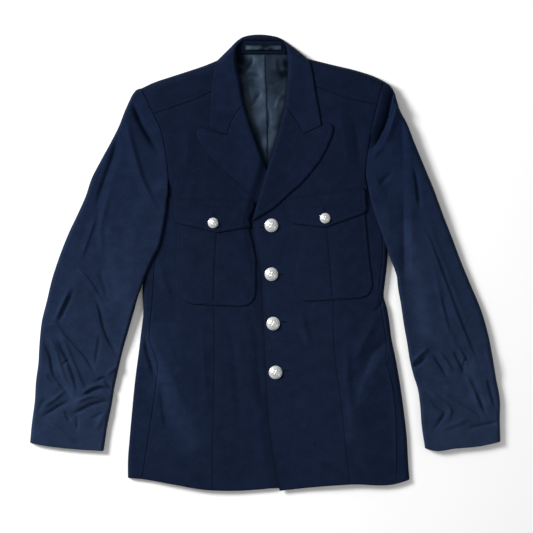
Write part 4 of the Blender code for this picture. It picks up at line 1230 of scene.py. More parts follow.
def button_place(name):
    """Centre, radius, seat and height of a button's solid, in millimetres."""
    low, high = (np.array(corner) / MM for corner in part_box(name))
    centre = 0.5 * (low + high)
    return centre[:2], 0.5 * (high[0] - low[0]), low[2], high[2] - low[2]


def button_dimples(points):
    total = np.zeros(len(points))
    for name in BUTTON_NAMES:
        centre, radius, _, _ = button_place(name)
        away = np.linalg.norm(points - centre, axis=1)
        total -= DIMPLE_DEPTH * bell(away / (DIMPLE_SPREAD * radius))
    return total


print(len(BUTTON_NAMES), "buttons")

# %% Fronts, yokes and sides
FOLD_RINGS = (0.9, FOLD_FOOT, 6.0)
ARMHOLE_RINGS = (0.9, 2.2)
SEAM_SIDES = (-2.6, -1.3, 1.3, 2.6)
BODY_NET = 2.6
LAP_SHADES = {"right": (0.45, 4.5), "left": (0.95, 1.6)}     # painted shade at the lap: its darkness, and its width
ROLL_RISES = [
    # place, how far the lapel or collar stands up at its roll line
    (60, 1.0),
    (150, 2.2),
    (270, 3.6),
    (340, 5.0),
    (390, 4.5),
]
ROLL_SPREAD = 24.0
ROLL_RADIUS = 4.5


def fold_lines(line, ring):
    """Net lines that follow a folded edge inside its piece."""
    return [inward(line, ring, depth) for depth in FOLD_RINGS]


def body_lines(half, rows):
    """Every line that the net of a body half has to keep."""
    line = half["line"]
    ring = half["ring"]
    lines = [np.vstack([ring["lapel"], ring["lapel"][:1]])]
    for key in ("side_seam", "yoke_seam", "shoulder_seam", "dart"):
        lines += [reach_past(line[key])] + beside_lines(line[key], SEAM_SIDES)
    lines += fold_lines(line["side_fold"], ring["body"])
    lines += fold_lines(line["shoulder"], ring["body"])
    lines += [reach_past(row) for row in fold_lines(line["roll"], ring["body"])]
    lines += [inward(line["armhole"], ring["body"], depth) for depth in ARMHOLE_RINGS]
    lines += crease_lines(BODY_CREASES, ring["body"])
    return lines + keep_fine(rows)


def build_body(half):
    """Front, yoke, side and lapel of one half."""
    name = half["name"]
    line = half["line"]
    ring = half["ring"]
    yoke_rows = [yoke_stitch_row(half)]
    front_rows = front_stitch_row(half)
    lapel_rows = [inset(join_lines(line["notch"], line["peak"]), ring["lapel"], LAPEL_STITCH_INSET)]

    def face(points):
        height = body_face(half, points) + seam_dips(half, points) + button_dimples(points)
        return height + stitch_dips(points, yoke_rows + front_rows)

    def lapel_face(points):
        under = body_face(half, points)
        rise = table_value(ROLL_RISES, 1, points[:, 1]) * (1.0 - covered(half, points))
        away = distance_to(points, line["roll"], 3.0 * ROLL_SPREAD)
        top = under + LAYER_GAP + SOLID_CLOTH + rise * bell(away / ROLL_SPREAD)
        foot = under - SOLID_CLOTH
        height = foot + (top - foot) * quarter_round(away / ROLL_RADIUS)
        return height + stitch_dips(points, lapel_rows)

    net = Net(ring["body"], body_lines(half, yoke_rows + front_rows + lapel_rows), BODY_NET)
    cuts = {
        "front": net.piece(holes=[ring["yoke"], ring["side"], ring["roll_strip"]]),
        "yoke": net.piece(ring["yoke"], holes=[ring["roll_strip"]]),
        "side": net.piece(ring["side"]),
    }
    # painted shade beside the edge of the lapping front
    edge = (half["over"] or half)["line"]["front_edge"]
    dark, width = LAP_SHADES[name]
    for key, patch in cuts.items():
        lower, upper = wall_below(face, patch.points, 0.0)
        lap_shade_paint = dark * bell(distance_to(patch.points, edge, 3.0 * width) / width)
        make_cloth(key + "_" + name, patch, lower, upper, WOOL[name],
                   pressed=[line["side_seam"], line["yoke_seam"]],
                   seams=[line["dart"], line["shoulder_seam"]], shade_paint=lap_shade_paint)
    patch = net.piece(ring["lapel"])
    under = body_face(half, patch.points)
    at_roll = distance_to(patch.points, line["roll"], ROLL_RADIUS) < FOLD_RINGS[0] + LAYER_GAP
    floor = np.where(at_roll, under - SOLID_CLOTH, under + LAYER_GAP)
    lower, upper = wall_below(lapel_face, patch.points, floor)
    make_cloth("lapel_" + name, patch, lower, upper, WOOL["lapel_" + name],
               pressed=[line["gorge"]])
    STITCH_ROWS["yoke_" + name] = (yoke_rows, face)
    STITCH_ROWS["lapel_" + name] = (lapel_rows, lapel_face)
    if front_rows:
        STITCH_ROWS["front_" + name] = (front_rows, face)


for half in (right, left):
    build_body(half)

# %% [markdown]
# ## Pockets and flaps
#
# A patch pocket is puffed a little by its own fullness, below the flap only. Its inverted pleat
# is a groove where two folds meet. The flap hangs over it and is held by the button.

# %% Patch pockets with flaps
POCKET_NET = 2.2
POCKET_PUFF = 0.6
PUFF_WIDTH = 25.0
PLEAT_WIDTH = 1.3
PLEAT_DEPTH = 0.9
TOP_CORNERS = {
    "pocket": {"right": (-148, 100), "left": (38, 97)},
    "flap": {"right": (-18, 105), "left": (29, 106)},
}


def free_edge(table, corner):
    """The edge of a pocket or flap without its top, from one top corner to the other."""
    points = table[:-1]
    first = points.index(corner)
    return cornered_line(points[first:] + points[:first])


def build_pocket(half):
    """The pocket and the flap of one half."""
    name = half["name"]
    pocket = half["ring"]["pocket"]
    flap = half["ring"]["flap"]
    pleat = half["line"]["pleat"]
    row = inset(free_edge(POCKETS[name], TOP_CORNERS["pocket"][name]), pocket, TOPSTITCH_INSET)
    pocket_rows = [row[~inside(row, flap)]]
    flap_rows = [inset(free_edge(FLAPS[name], TOP_CORNERS["flap"][name]), flap, TOPSTITCH_INSET)]

    def pocket_lower(points):
        return body_face(half, points) + LAYER_GAP

    def pocket_face(points):
        below_flap = ramp(-depth_in(points, flap, PUFF_WIDTH) / PUFF_WIDTH)
        puff = POCKET_PUFF * below_flap * ramp(depth_in(points, pocket, PUFF_WIDTH) / PUFF_WIDTH)
        height = pocket_lower(points) + POCKET_CLOTH + puff
        height = height + dip(points, pleat, PLEAT_WIDTH, PLEAT_DEPTH)
        return height + stitch_dips(points, pocket_rows)

    def flap_lower(points):
        return body_face(half, points) + 2 * LAYER_GAP + POCKET_CLOTH

    def flap_face(points):
        dents = button_dimples(points) + stitch_dips(points, flap_rows)
        return flap_lower(points) + FLAP_CLOTH + dents

    pleat_lines = [pleat] + [beside(pleat, offset) for offset in SEAM_SIDES]
    for key, ring, rows, lines, under, face in (
            ("pocket", pocket, pocket_rows, pleat_lines, pocket_lower, pocket_face),
            ("flap", flap, flap_rows, [], flap_lower, flap_face)):
        patch = Net(ring, lines + keep_fine(rows), POCKET_NET).piece()
        make_cloth(key + "_" + name, patch, under(patch.points), face(patch.points), WOOL[name],
                   seams=lines[:1])
        STITCH_ROWS[key + "_" + name] = (rows, face)


for half in (right, left):
    build_pocket(half)

# %% [markdown]
# ## Sleeves
#
# A laid sleeve is two sheets: the top one, folded round at both edges, and the under one, which
# lies on the floor and climbs a little way on to the side of the body. The top sheet never comes
# lower than the under one with room for both cloths between them.

# %% Top and under sleeves
SLEEVE_HEIGHTS = [
    # place, plateau
    (-320, 11.0),
    (-150, 12.0),
    (0, 13.0),
    (100, 16.5),
    (200, 19.0),
    (300, 22.5),
]
SLEEVE_NET = 1.8
SLEEVE_WAVES = (60.0, 0.3)      # length, height
TROUGH_WIDTH = 9.0
TROUGH_FADES = (0.25, 0.2)      # shares of its length over which its shade comes and goes
HOOK_REACH = 9.0
SLEEVE_OUTER_RADIUS = 8.0
SLEEVE_INNER_RADIUS = 4.0
OVERHANG_REACH = 14.0
OVERHANG_ROOM = 4.6
OVERHANG_RUN = 48.0
OVERHANG_PASSAGE = 4.0
SLEEVE_LEAST = 5.0
LEAST_PASSAGE = 1.0
CLIMB_SEEN = 75.0


def side_depth(half, points):
    """How far a point is over the body's side, counted from a little beyond its outline."""
    return depth_in(points, half["ring"]["side_body"], CLIMB_SEEN) + OVERHANG_REACH


def climb(half, points):
    """Height of the body's side under the sleeve."""
    rise = quarter_round(side_depth(half, points) / SIDE_FOLD_RADIUS)
    return (plateau(half, points) + LOOSE_GAP) * rise


def overhang(half, points):
    """Height that the top sleeve needs over the body's side, with a long slope up to it."""
    top = plateau(half, points) + LOOSE_GAP + OVERHANG_ROOM
    return top * ramp((side_depth(half, points) + OVERHANG_RUN) / OVERHANG_RUN)


def sleeve_face(half, points, folds, creases, seed):
    """Outer face of the top sleeve."""
    line = half["line"]
    floor = climb(half, points)
    creased = crease_heights(points, folds, creases) + waves(points, seed, *SLEEVE_WAVES)
    flat = table_value(SLEEVE_HEIGHTS, 1, points[:, 1])
    height = higher(flat, overhang(half, points), OVERHANG_PASSAGE) + creased
    height = np.maximum(height, floor + 2.0 * CLOTH + 2.0 * LAYER_GAP)
    height = higher(height, SLEEVE_LEAST, LEAST_PASSAGE)
    outer = round_edge(points, line["sleeve_outer"], SLEEVE_OUTER_RADIUS)
    inner = round_edge(points, line["sleeve_inner"], SLEEVE_INNER_RADIUS)
    return floor + (height - floor) * outer * inner


def under_sleeve_ring(half):
    """Outline of the under sleeve, which stops inside the folded edges of the top one."""
    line = half["line"]
    sleeve = half["ring"]["sleeve"]
    outer = inward(line["sleeve_outer"], sleeve, UNDER_INSET)
    inner = inward(line["sleeve_inner"], sleeve, UNDER_INSET)
    hook = line["hook"]
    hook = hook[distance_to(hook, line["sleeve_inner"], HOOK_REACH) > 2.0 * UNDER_INSET]
    inner = inner[distance_to(inner, line["hook"], HOOK_REACH) > UNDER_INSET]
    return close_ring(outer, line["back_armhole"], hook[::-1], inner[::-1],
                      line["cuff"][1:-1][::-1])


def trough_shade(points, trough, dark):
    """Painted shade beside the trough that the sleeve head hangs in, on its outer side."""
    distance, place, side = nearest(points, smooth_line(trough), 4.0 * TROUGH_WIDTH)
    ends = ramp(place / TROUGH_FADES[0]) * ramp((1.0 - place) / TROUGH_FADES[1])
    return dark * (side < 0.0) * ends * np.exp(-distance / TROUGH_WIDTH)


def build_sleeve(half, folds, creases, seed, dark):
    """Both sheets of one sleeve."""
    name = half["name"]
    wool = WOOL["sleeve_" + name]
    sleeve = half["ring"]["sleeve"]

    def face(points):
        return sleeve_face(half, points, folds, creases, seed)

    def under_face(points):
        return climb(half, points)

    lines = fold_lines(half["line"]["sleeve_outer"], sleeve)
    lines += fold_lines(half["line"]["sleeve_inner"], sleeve)
    lines += crease_lines(creases, sleeve)
    patch = Net(sleeve, lines, SLEEVE_NET).piece()
    lower, upper = wall_below(face, patch.points, under_face(patch.points))
    make_cloth("sleeve_" + name + "_top", patch, lower, upper, wool,
               shade_paint=trough_shade(patch.points, creases[0][-1], dark))
    lay_hidden("sleeve_" + name + "_under", under_sleeve_ring(half), wool, under_face)


# the last number is how dark the painted shade beside the sleeve head is
build_sleeve(right, RIGHT_SLEEVE_FOLDS, RIGHT_SLEEVE_CREASES, 21, 0.4)
build_sleeve(left, LEFT_SLEEVE_FOLDS, LEFT_SLEEVE_CREASES, 22, 1.0)

# %% [markdown]
# ## Back, collar and neck
#
# The back lies flat inside the folded sides. The collar is one U-shaped piece: both leaves and
# the fall round the back neck, which rolls over the stand. Inside the neck show the stand, the
# satin lining with its pleat, and the hanging loop.

# %% The back
def tucked(half, key):
    """A folded edge of a body half, moved in to where the sheet inside the fold ends."""
    return inward(half["line"][key], half["ring"]["body"], UNDER_INSET)[1:-1]


back_ring = close_ring(
    tucked(right, "side_fold")[::-1], right["line"]["back_armhole"][:-1][::-1],
    tucked(right, "shoulder"), smooth_line(BACK_NECK), tucked(left, "shoulder")[::-1],
    left["line"]["back_armhole"][:-1], tucked(left, "side_fold"), smooth_line(BACK_HEM)[::-1])
lay_hidden("back", back_ring, WOOL["left"])

# %% The collar
COLLAR_NET = 2.2
BACK_FALL_SHADE = 0.55   # painted shade on the collar's fall behind the neck
BACK_FALL_FOOT = 358.0
BACK_FALL_RUN = 10.0
BACK_FALL_ENDS = (-44.0, 36.0)
BACK_FALL_END_RUN = 8.0
NECK_RADIUS = 12.0
NECK_FLOOR_START = 285.0
NECK_FLOOR_RUN = 50.0
ROLL_FLOORS = [
    # place, height that the roll line comes down to inside the neck
    (270, 0.0),
    (345, 5.0),
    (365, 5.0),
    (379, 9.0),
]


def stand_line():
    """The fold of the collar over its stand at the back neck, from right to left."""
    top = cornered_line([tuple(RIGHT["stand_side"][0]), tuple(LEFT["stand_side"][0])])
    return join_lines(right["line"]["stand_side"][::-1], top, left["line"]["stand_side"])


def build_collar():
    """Both leaves and the fall round the back neck, with the under collar beneath it."""
    back = smooth_line(COLLAR_BACK_EDGE)
    ring = close_ring(smooth_line(COLLAR_RIGHT_EDGE), back, smooth_line(COLLAR_LEFT_EDGE),
                      left["line"]["notch"][::-1], left["line"]["gorge"][::-1],
                      left["line"]["neck_roll"][::-1], stand_line()[::-1],
                      right["line"]["neck_roll"], right["line"]["gorge"], right["line"]["notch"])
    roll = join_lines(right["line"]["neck_roll"][::-1], stand_line(), left["line"]["neck_roll"])

    def roll_floor(points):
        low = table_value(ROLL_FLOORS, 1, points[:, 1])
        share = ramp((points[:, 1] - NECK_FLOOR_START) / NECK_FLOOR_RUN)
        return (chest_height(points) - SOLID_CLOTH) * (1.0 - share) + low * share

    def face(points):
        edge = round_edge(points, back, NECK_RADIUS)
        away = distance_to(points, roll, 3.0 * ROLL_SPREAD)
        rise = table_value(ROLL_RISES, 1, points[:, 1]) * bell(away / ROLL_SPREAD)
        height = (chest_height(points) + 2 * LAYER_GAP + SOLID_CLOTH + rise) * edge
        foot = np.minimum(roll_floor(points), height)
        return foot + (height - foot) * quarter_round(away / ROLL_RADIUS)

    def floor(points):
        edge = distance_to(points, back, NECK_RADIUS)
        support = (chest_height(points) + 2 * LAYER_GAP) * quarter_round(edge / NECK_RADIUS)
        depth = np.maximum(depth_in(points, right["ring"]["body"], SHOULDER_RADIUS),
                           depth_in(points, left["ring"]["body"], SHOULDER_RADIUS))
        support = np.where(depth > -SHOULDER_RADIUS / 2.0, support, SOLID_CLOTH + 2.0 * LAYER_GAP)
        support = np.where(edge < FOLD_RINGS[0] + LAYER_GAP, 0.0, support)
        at_roll = distance_to(points, roll, ROLL_RADIUS) < FOLD_RINGS[0] + LAYER_GAP
        return np.where(at_roll, np.minimum(roll_floor(points), support), support)

    lines = [reach_past(row) for row in fold_lines(roll, ring)] + fold_lines(back, ring)
    patch = Net(ring, lines, COLLAR_NET).piece()
    lower, upper = wall_below(face, patch.points, floor(patch.points))
    across, along = patch.points.T
    west, east = BACK_FALL_ENDS
    # painted shade on the collar's fall behind the neck
    fall_shade = BACK_FALL_SHADE * ramp((along - BACK_FALL_FOOT) / BACK_FALL_RUN)
    fall_shade = fall_shade * ramp((across - west) / BACK_FALL_END_RUN)
    fall_shade = fall_shade * ramp((east - across) / BACK_FALL_END_RUN)
    make_cloth("collar", patch, lower, upper, WOOL["collar"], shade_paint=fall_shade,
               pressed=[right["line"]["gorge"], left["line"]["gorge"]])
    ring = close_ring(inward(back, ring, UNDER_INSET)[1:-1], smooth_line(BACK_NECK)[::-1])
    lay_hidden("undercollar", ring, WOOL["collar"])


build_collar()

# %% Stand, lining and loop
NECK_FLOOR = SOLID_CLOTH + LAYER_GAP
STAND_HEIGHTS = [(357, 4.2), (379, 9.5)]
LINING_NET = 1.9
LINING_DROP = 0.2
LINING_WAVES = (31, 38.0, 0.25)     # seed, length, height
LINING_LOOSE = 1.4       # how far the lining stands off the back between its folds
LINING_MOST = 3.6
LINING_SHARE = 0.40      # lining folds lower than wool does
LINING_RIM_RUN = 7.0
# painted shade where the lining lies low between its folds
LINING_TROUGH_SHADE = 0.55
LINING_SHADES = [
    # radius, darkness and place of what little light reaches under the collar
    (17, 1.0, (-46, 346)),
    (12, 0.95, (-45, 328)),
    (13, 0.95, (34, 340)),
    (12, 1.0, (33, 322)),
    (8, 0.7, (24, 312)),
    (8, 0.8, (-37, 262)),
    (10, 0.6, (30, 286)),
]
PANEL_SHADE = 0.6        # painted shade on the left panel of the lining near the neck
PANEL_SHADE_FOOT = 255.0
PANEL_SHADE_RUN = 60.0
# painted shade along the roll lines, under the lapels and the collar
ROLL_SHADE = 0.8
ROLL_SHADE_WIDTH = 5.0
# painted shade over the whole stand, under the collar's fall
STAND_SHADE = 0.45
# painted shade along the loop's edges
LOOP_SHADE_WIDTH = 1.7
LOOP_STEP = 1.5
LOOP_NET = 1.2
LOOP_RISE = 0.35
LOOP_WAVES = (33, 18.0, 0.3)
PLEAT_STEP = 1.5
PLEAT_SPREAD = 16.0
PLEAT_REACH = 60.0
LINING_FOLDS = [
    # left width, right width, height, line
    (4, 6, -2.4, [(-27, 355), (-23, 348), (-29, 335), (-42, 321)]),
    (3, 3, 1.0, [(-39, 354), (-35, 345), (-32, 339)]),
    (8, 8, 0.8, [(-15, 355), (-13, 339), (-12, 326)]),
    (5, 5, -1.2, [(-40, 318), (-26, 322), (-12, 320), (-3, 314)]),
    (12, 12, 1.3, [(-25, 306), (-26, 284)]),
    (5, 5, -1.3, [(-5, 295), (-17, 279), (-23, 266)]),
    (4, 5, 1.1, [(-27, 260), (-16, 268), (0, 271)]),
    (9, 9, 1.0, [(-14, 252), (-7, 235), (-3, 218)]),
    (6, 4, -2.4, [(22, 352), (25, 335), (28, 320), (34, 309)]),
    (3, 3, 0.9, [(16, 352), (17, 337), (18, 323)]),
    (4, 4, 1.0, [(31, 349), (30, 335), (32, 324)]),
    (4, 4, 1.1, [(4, 300), (16, 301), (28, 303)]),
    (5, 4, -1.4, [(16, 295), (25, 290), (32, 294)]),
    (5, 3, 1.3, [(33, 289), (23, 279), (19, 267), (20, 255)]),
    (8, 8, 0.8, [(16, 243), (14, 222)]),
    (3, 3, -1.2, [(5, 266), (6, 246), (5, 226)]),
]


def stand_face(points):
    return table_value(STAND_HEIGHTS, 1, points[:, 1])


def build_neck():
    fold = stand_line()
    ring = close_ring(fold, cornered_line([tuple(fold[-1]), tuple(fold[0])]))
    patch = Net(ring, [], FINE_NET).piece()
    lower, upper = wall_below(stand_face, patch.points, NECK_FLOOR)
    make_cloth("collar_stand", patch, lower, upper, WOOL["collar"], LOW_DROP, shade_paint=STAND_SHADE)

    pleat = smooth_line(LINING_PLEAT)
    ring = close_ring(cornered_line(LINING + LINING[:1]))

    def looseness(points):
        distance, _, side = nearest(points, pleat, PLEAT_SPREAD)
        step = PLEAT_STEP * (side < 0.0) * (1.0 - ramp(distance / PLEAT_SPREAD))
        loose = LINING_LOOSE + step + dip(points, pleat, 1.0, 0.5) + waves(points, *LINING_WAVES)
        loose = loose + LINING_SHARE * crease_heights(points, [], LINING_FOLDS)
        return np.clip(loose, 0.0, LINING_MOST)

    def lining_face(points):
        rim = ramp(depth_in(points, ring, LINING_RIM_RUN) / LINING_RIM_RUN)
        return NECK_FLOOR + LINING_CLOTH + looseness(points) * rim

    lines = [pleat] + beside_lines(pleat, (-1.0, 1.0)) + crease_lines(LINING_FOLDS, ring)
    patch = Net(ring, lines, LINING_NET).piece()
    lower, upper = wall_below(lining_face, patch.points, NECK_FLOOR, LINING_CLOTH)
    # painted shade: the lining's troughs, the corners under the collar, its left panel and along
    # the rolls
    shade_paint = LINING_TROUGH_SHADE * np.clip(1.0 - looseness(patch.points) / LINING_LOOSE, 0.0, 1.0)
    for radius, dark, place in LINING_SHADES:
        away = np.linalg.norm(patch.points - place, axis=1)
        shade_paint = np.maximum(shade_paint, dark * np.exp(-(away / radius)**3))
    side = nearest(patch.points, pleat, PLEAT_REACH)[2]
    high = ramp((patch.points[:, 1] - PANEL_SHADE_FOOT) / PANEL_SHADE_RUN)
    shade_paint = np.maximum(shade_paint, PANEL_SHADE * high * (side > 0.0))
    for half in (right, left):
        for key in ("roll", "neck_roll"):
            away = distance_to(patch.points, half["line"][key], 4.0 * ROLL_SHADE_WIDTH)
            shade_paint = np.maximum(shade_paint, ROLL_SHADE * bell(away / ROLL_SHADE_WIDTH))
    make_cloth("back_lining", patch, lower, upper, LINING_SATIN, LINING_DROP, seams=[pleat],
               shade_paint=shade_paint)

    loop = HANGER_LOOP
    corners = [(loop["right"], loop["low"]), (loop["left"], loop["low"]),
               (loop["left"], loop["high"]), (loop["right"], loop["high"])]
    ring = close_ring(cornered_line(corners + corners[:1], LOOP_STEP))
    patch = Net(ring, [], LOOP_NET).piece()
    middle = 0.5 * (loop["left"] + loop["right"])
    reach = 0.5 * (loop["left"] - loop["right"])
    arch = loop["arch"] * (1.0 - ((patch.points[:, 0] - middle) / reach)**2)
    arch = arch + LOOP_RISE + waves(patch.points, *LOOP_WAVES)
    lower = stand_face(patch.points) + LAYER_GAP + np.maximum(arch, 0.0)
    make_cloth("hanger_loop", patch, lower, lower + LINING_CLOTH, LOOP_SATIN,
               shade_paint=bell(patch.rim() / LOOP_SHADE_WIDTH))


build_neck()

# %% [markdown]
# ## Buttons
#
# Each button is a stamped dome with a rolled rim. The mesh is a polar grid, so any ornament is
# just a function of the radius and the angle: a plain rosette of six petals in the middle and a
# ring of beads round it. The outlines of the stamping also get a `recess` value, and the material
# reads it to darken them with the tarnish that polishing doesn't reach.

# %% Silver
BRIGHT_SILVER = (0.92, 0.93, 0.93, 1.0)
TARNISH = (0.03, 0.035, 0.04, 1.0)


def make_silver():
    material, tree, shader = new_material("silver")
    recess = attribute(tree, "recess")
    set_inputs(tree, shader, [("Base Color", blend(tree, recess, BRIGHT_SILVER, TARNISH)),
                              ("Roughness", between(tree, recess, 0.24, 0.45)), ("Metallic", 0.5)])
    return material


SILVER = make_silver()

# %% Stamped domes
BUTTON_SHARE = 0.91      # the metal ends a little inside the plain solid's edge
BUTTON_TURNS = 96
BUTTON_RINGS = 40
RIM_WIDTH = 1.2
RIM_HEIGHT = 1.5
DOME_ROUND = 0.96        # 1 would make a half ellipsoid of the dome
RELIEF = 0.05            # height of the stamping, as a share of the radius
PETALS = 6
PETAL_START = 0.34       # these and the next are shares of the dome's radius
PETAL_LENGTH = 0.34
PETAL_EDGE = 0.16
BOSS_RADIUS = 0.16
BOSS_EDGE = 0.08
BEADS = 32
BEAD_RING = 0.86
BEAD_WIDTH = 0.05
OUTLINE_HEIGHT = 0.35    # how high on a petal's side its dark outline lies
OUTLINE_SPREAD = 0.33
OUTLINE_END = 0.80


def stamping(share, angle):
    """Height of the ornament, from 0 to 1, by the share of the dome's radius."""
    petal = np.abs(np.cos(0.5 * PETALS * angle))
    tip = PETAL_START + PETAL_LENGTH * petal
    rosette = ramp((tip - share) / PETAL_EDGE) * (0.2 + 0.8 * petal)
    boss = ramp((BOSS_RADIUS - share) / BOSS_EDGE)
    bead = bell((share - BEAD_RING) / BEAD_WIDTH) * (0.5 + 0.5 * np.cos(0.5 * BEADS * angle)**2)
    return np.clip(np.maximum(rosette, boss) + bead, 0.0, 1.0)


def make_button(name):
    """A button in the place of its solid."""
    centre, radius, seat, height = button_place(name)
    radius = BUTTON_SHARE * radius
    crown = radius - RIM_WIDTH
    relief = RELIEF * radius
    verts = []
    recess = []
    angles = np.linspace(0.0, 2.0 * math.pi, BUTTON_TURNS, endpoint=False)
    for share in np.linspace(0.01, 1.0, BUTTON_RINGS):
        carved = stamping(np.full(BUTTON_TURNS, share), angles)
        arch = math.sqrt(1.0 - DOME_ROUND * share**2)
        low = RIM_HEIGHT + (height - relief - RIM_HEIGHT) * arch + relief * carved
        verts += [(crown * share * math.cos(a), crown * share * math.sin(a), z)
                  for a, z in zip(angles, low)]
        recess += list(bell((carved - OUTLINE_HEIGHT) / OUTLINE_SPREAD) * (share < OUTLINE_END))
    for out, z in ((crown + 0.25, RIM_HEIGHT - 0.3), (radius - 0.5, RIM_HEIGHT + 0.1),
                   (radius, RIM_HEIGHT - 0.5), (radius, 0.4), (radius - 0.4, 0.0)):
        verts += [(out * math.cos(a), out * math.sin(a), z) for a in angles]
        recess += [0.6 if out < radius - 0.6 else 0.0] * BUTTON_TURNS
    rings = len(verts) // BUTTON_TURNS
    faces = []
    for ring in range(rings - 1):
        for turn in range(BUTTON_TURNS):
            here = ring * BUTTON_TURNS + turn
            beyond = ring * BUTTON_TURNS + (turn + 1) % BUTTON_TURNS
            faces.append((here, here + BUTTON_TURNS, beyond + BUTTON_TURNS, beyond))
    faces.append(tuple(range(BUTTON_TURNS)))
    faces.append(tuple(range((rings - 1) * BUTTON_TURNS, rings * BUTTON_TURNS))[::-1])
    place = np.array(verts) + (centre[0], centre[1], seat)
    return show_mesh("stamped_", name, place * MM, faces, SILVER, recess=recess)


BUTTONS = {name: make_button(name) for name in BUTTON_NAMES}
print(len(BUTTONS), "buttons of", len(BUTTONS["front_button_1"].data.polygons), "faces")

# %% [markdown]
# ## Stitches
#
# A node tree sews: it resamples a line at the pitch of the stitches, sets a short bead of thread
# on each point along the line's direction, and makes one mesh of them. `Turn` lays the beads
# across the line instead, which is how the edge of a buttonhole is sewn.

# %% The sewing tree
def make_sewing_tree():
    tree = bpy.data.node_groups.new("sewing", "GeometryNodeTree")
    kinds = {"Geometry": "Geometry", "Pitch": "Float", "Length": "Float", "Width": "Float",
             "Turn": "Float", "Seed": "Int", "Thread": "Material"}
    for name, kind in kinds.items():
        tree.interface.new_socket(name, in_out="INPUT", socket_type="NodeSocket" + kind)
    tree.interface.new_socket("Geometry", in_out="OUTPUT", socket_type="NodeSocketGeometry")
    given = add_node(tree, "NodeGroupInput").outputs
    curve = add_node(tree, "GeometryNodeMeshToCurve", [("Mesh", given["Geometry"])]).outputs[0]
    links = [("Curve", curve), ("Length", given["Pitch"])]
    points = add_node(tree, "GeometryNodeResampleCurve", links, mode="LENGTH").outputs[0]
    size = add_node(tree, "ShaderNodeCombineXYZ", [("X", given["Length"]), ("Y", given["Width"]),
                                                   ("Z", given["Width"])]).outputs[0]
    links = [("Segments", 8), ("Rings", 5), ("Radius", 0.5)]
    bead = add_node(tree, "GeometryNodeMeshUVSphere", links).outputs[0]
    bead = add_node(tree, "GeometryNodeTransform", [("Geometry", bead), ("Scale", size)]).outputs[0]
    tangent = add_node(tree, "GeometryNodeInputTangent").outputs[0]
    along = add_node(tree, "FunctionNodeAlignRotationToVector", [("Vector", tangent)], axis="X")
    links = [("Min", (0.0, 0.0, -0.07)), ("Max", (0.0, 0.0, 0.07)), ("Seed", given["Seed"])]
    chance = add_node(tree, "FunctionNodeRandomValue", links, data_type="FLOAT_VECTOR").outputs[0]
    turn = add_node(tree, "ShaderNodeCombineXYZ", [("Z", given["Turn"])]).outputs[0]
    links = [(0, turn), (1, chance)]
    both = add_node(tree, "ShaderNodeVectorMath", links, operation="ADD").outputs[0]
    spin = add_node(tree, "FunctionNodeEulerToRotation", [(0, both)]).outputs[0]
    links = [("Rotation", along.outputs[0]), ("Rotate By", spin)]
    facing = add_node(tree, "FunctionNodeRotateRotation", links, rotation_space="LOCAL").outputs[0]
    links = [("Points", points), ("Instance", bead), ("Rotation", facing)]
    sewn = add_node(tree, "GeometryNodeInstanceOnPoints", links).outputs[0]
    sewn = add_node(tree, "GeometryNodeRealizeInstances", [("Geometry", sewn)]).outputs[0]
    sewn = add_node(tree, "GeometryNodeSetShadeSmooth", [(0, sewn)]).outputs[0]
    sewn = add_node(tree, "GeometryNodeSetMaterial", [(0, sewn), ("Material", given["Thread"])])
    add_node(tree, "NodeGroupOutput", [(0, sewn.outputs[0])])
    return tree


SEWING = make_sewing_tree()


def sew(name, lines, thread, seed, sizes, turn=0.0):
    """Sew along lines of points, which are (x, y, height), with stitches of the given sizes."""
    pitch, length, width = sizes
    inputs = {"Pitch": pitch * MM, "Length": length * MM, "Width": width * MM, "Turn": turn,
              "Seed": seed, "Thread": thread}
    verts = np.vstack(lines) * MM
    ends = np.cumsum([len(line) for line in lines]) - 1
    edges = [(i, i + 1) for i in range(len(verts) - 1) if i not in ends]
    mesh = bpy.data.meshes.new(name)
    mesh.from_pydata(verts.tolist(), edges, [])
    guide = show(name + "_guide", mesh)
    modifier = guide.modifiers.new("sewing", "NODES")
    modifier.node_group = SEWING
    for item in SEWING.interface.items_tree:
        if item.in_out == "INPUT" and item.name in inputs:
            modifier[item.identifier] = inputs[item.name]
    graph = bpy.context.evaluated_depsgraph_get()
    made = bpy.data.meshes.new_from_object(guide.evaluated_get(graph))
    bpy.data.objects.remove(guide, do_unlink=True)
    return show(name, made)


print("the sewing tree has", len(SEWING.nodes), "nodes")

# %% Topstitching
TOPSTITCH = (2.9, 2.2, 0.42)        # pitch, length, thickness
HOLE_STITCH = (0.8, 2.8, 0.7)
TACK_STITCH = (2.0, 1.7, 0.5)
STITCH_LIFT = 0.1
HOLE_LIFT = 0.15
HOLE_SEED = 50
TACK_SEED = 70
STITCHES = {}


def at_heights(line, face, lift):
    return np.column_stack([line, face(line) + lift])


for seed, (name, (rows, face)) in enumerate(sorted(STITCH_ROWS.items())):
    lines = [at_heights(row, face, STITCH_LIFT) for row in rows]
    STITCHES[name] = sew("stitches_" + name, lines, THREAD, seed, TOPSTITCH)
print(sum(len(piece.data.polygons) for piece in STITCHES.values()), "faces of thread")

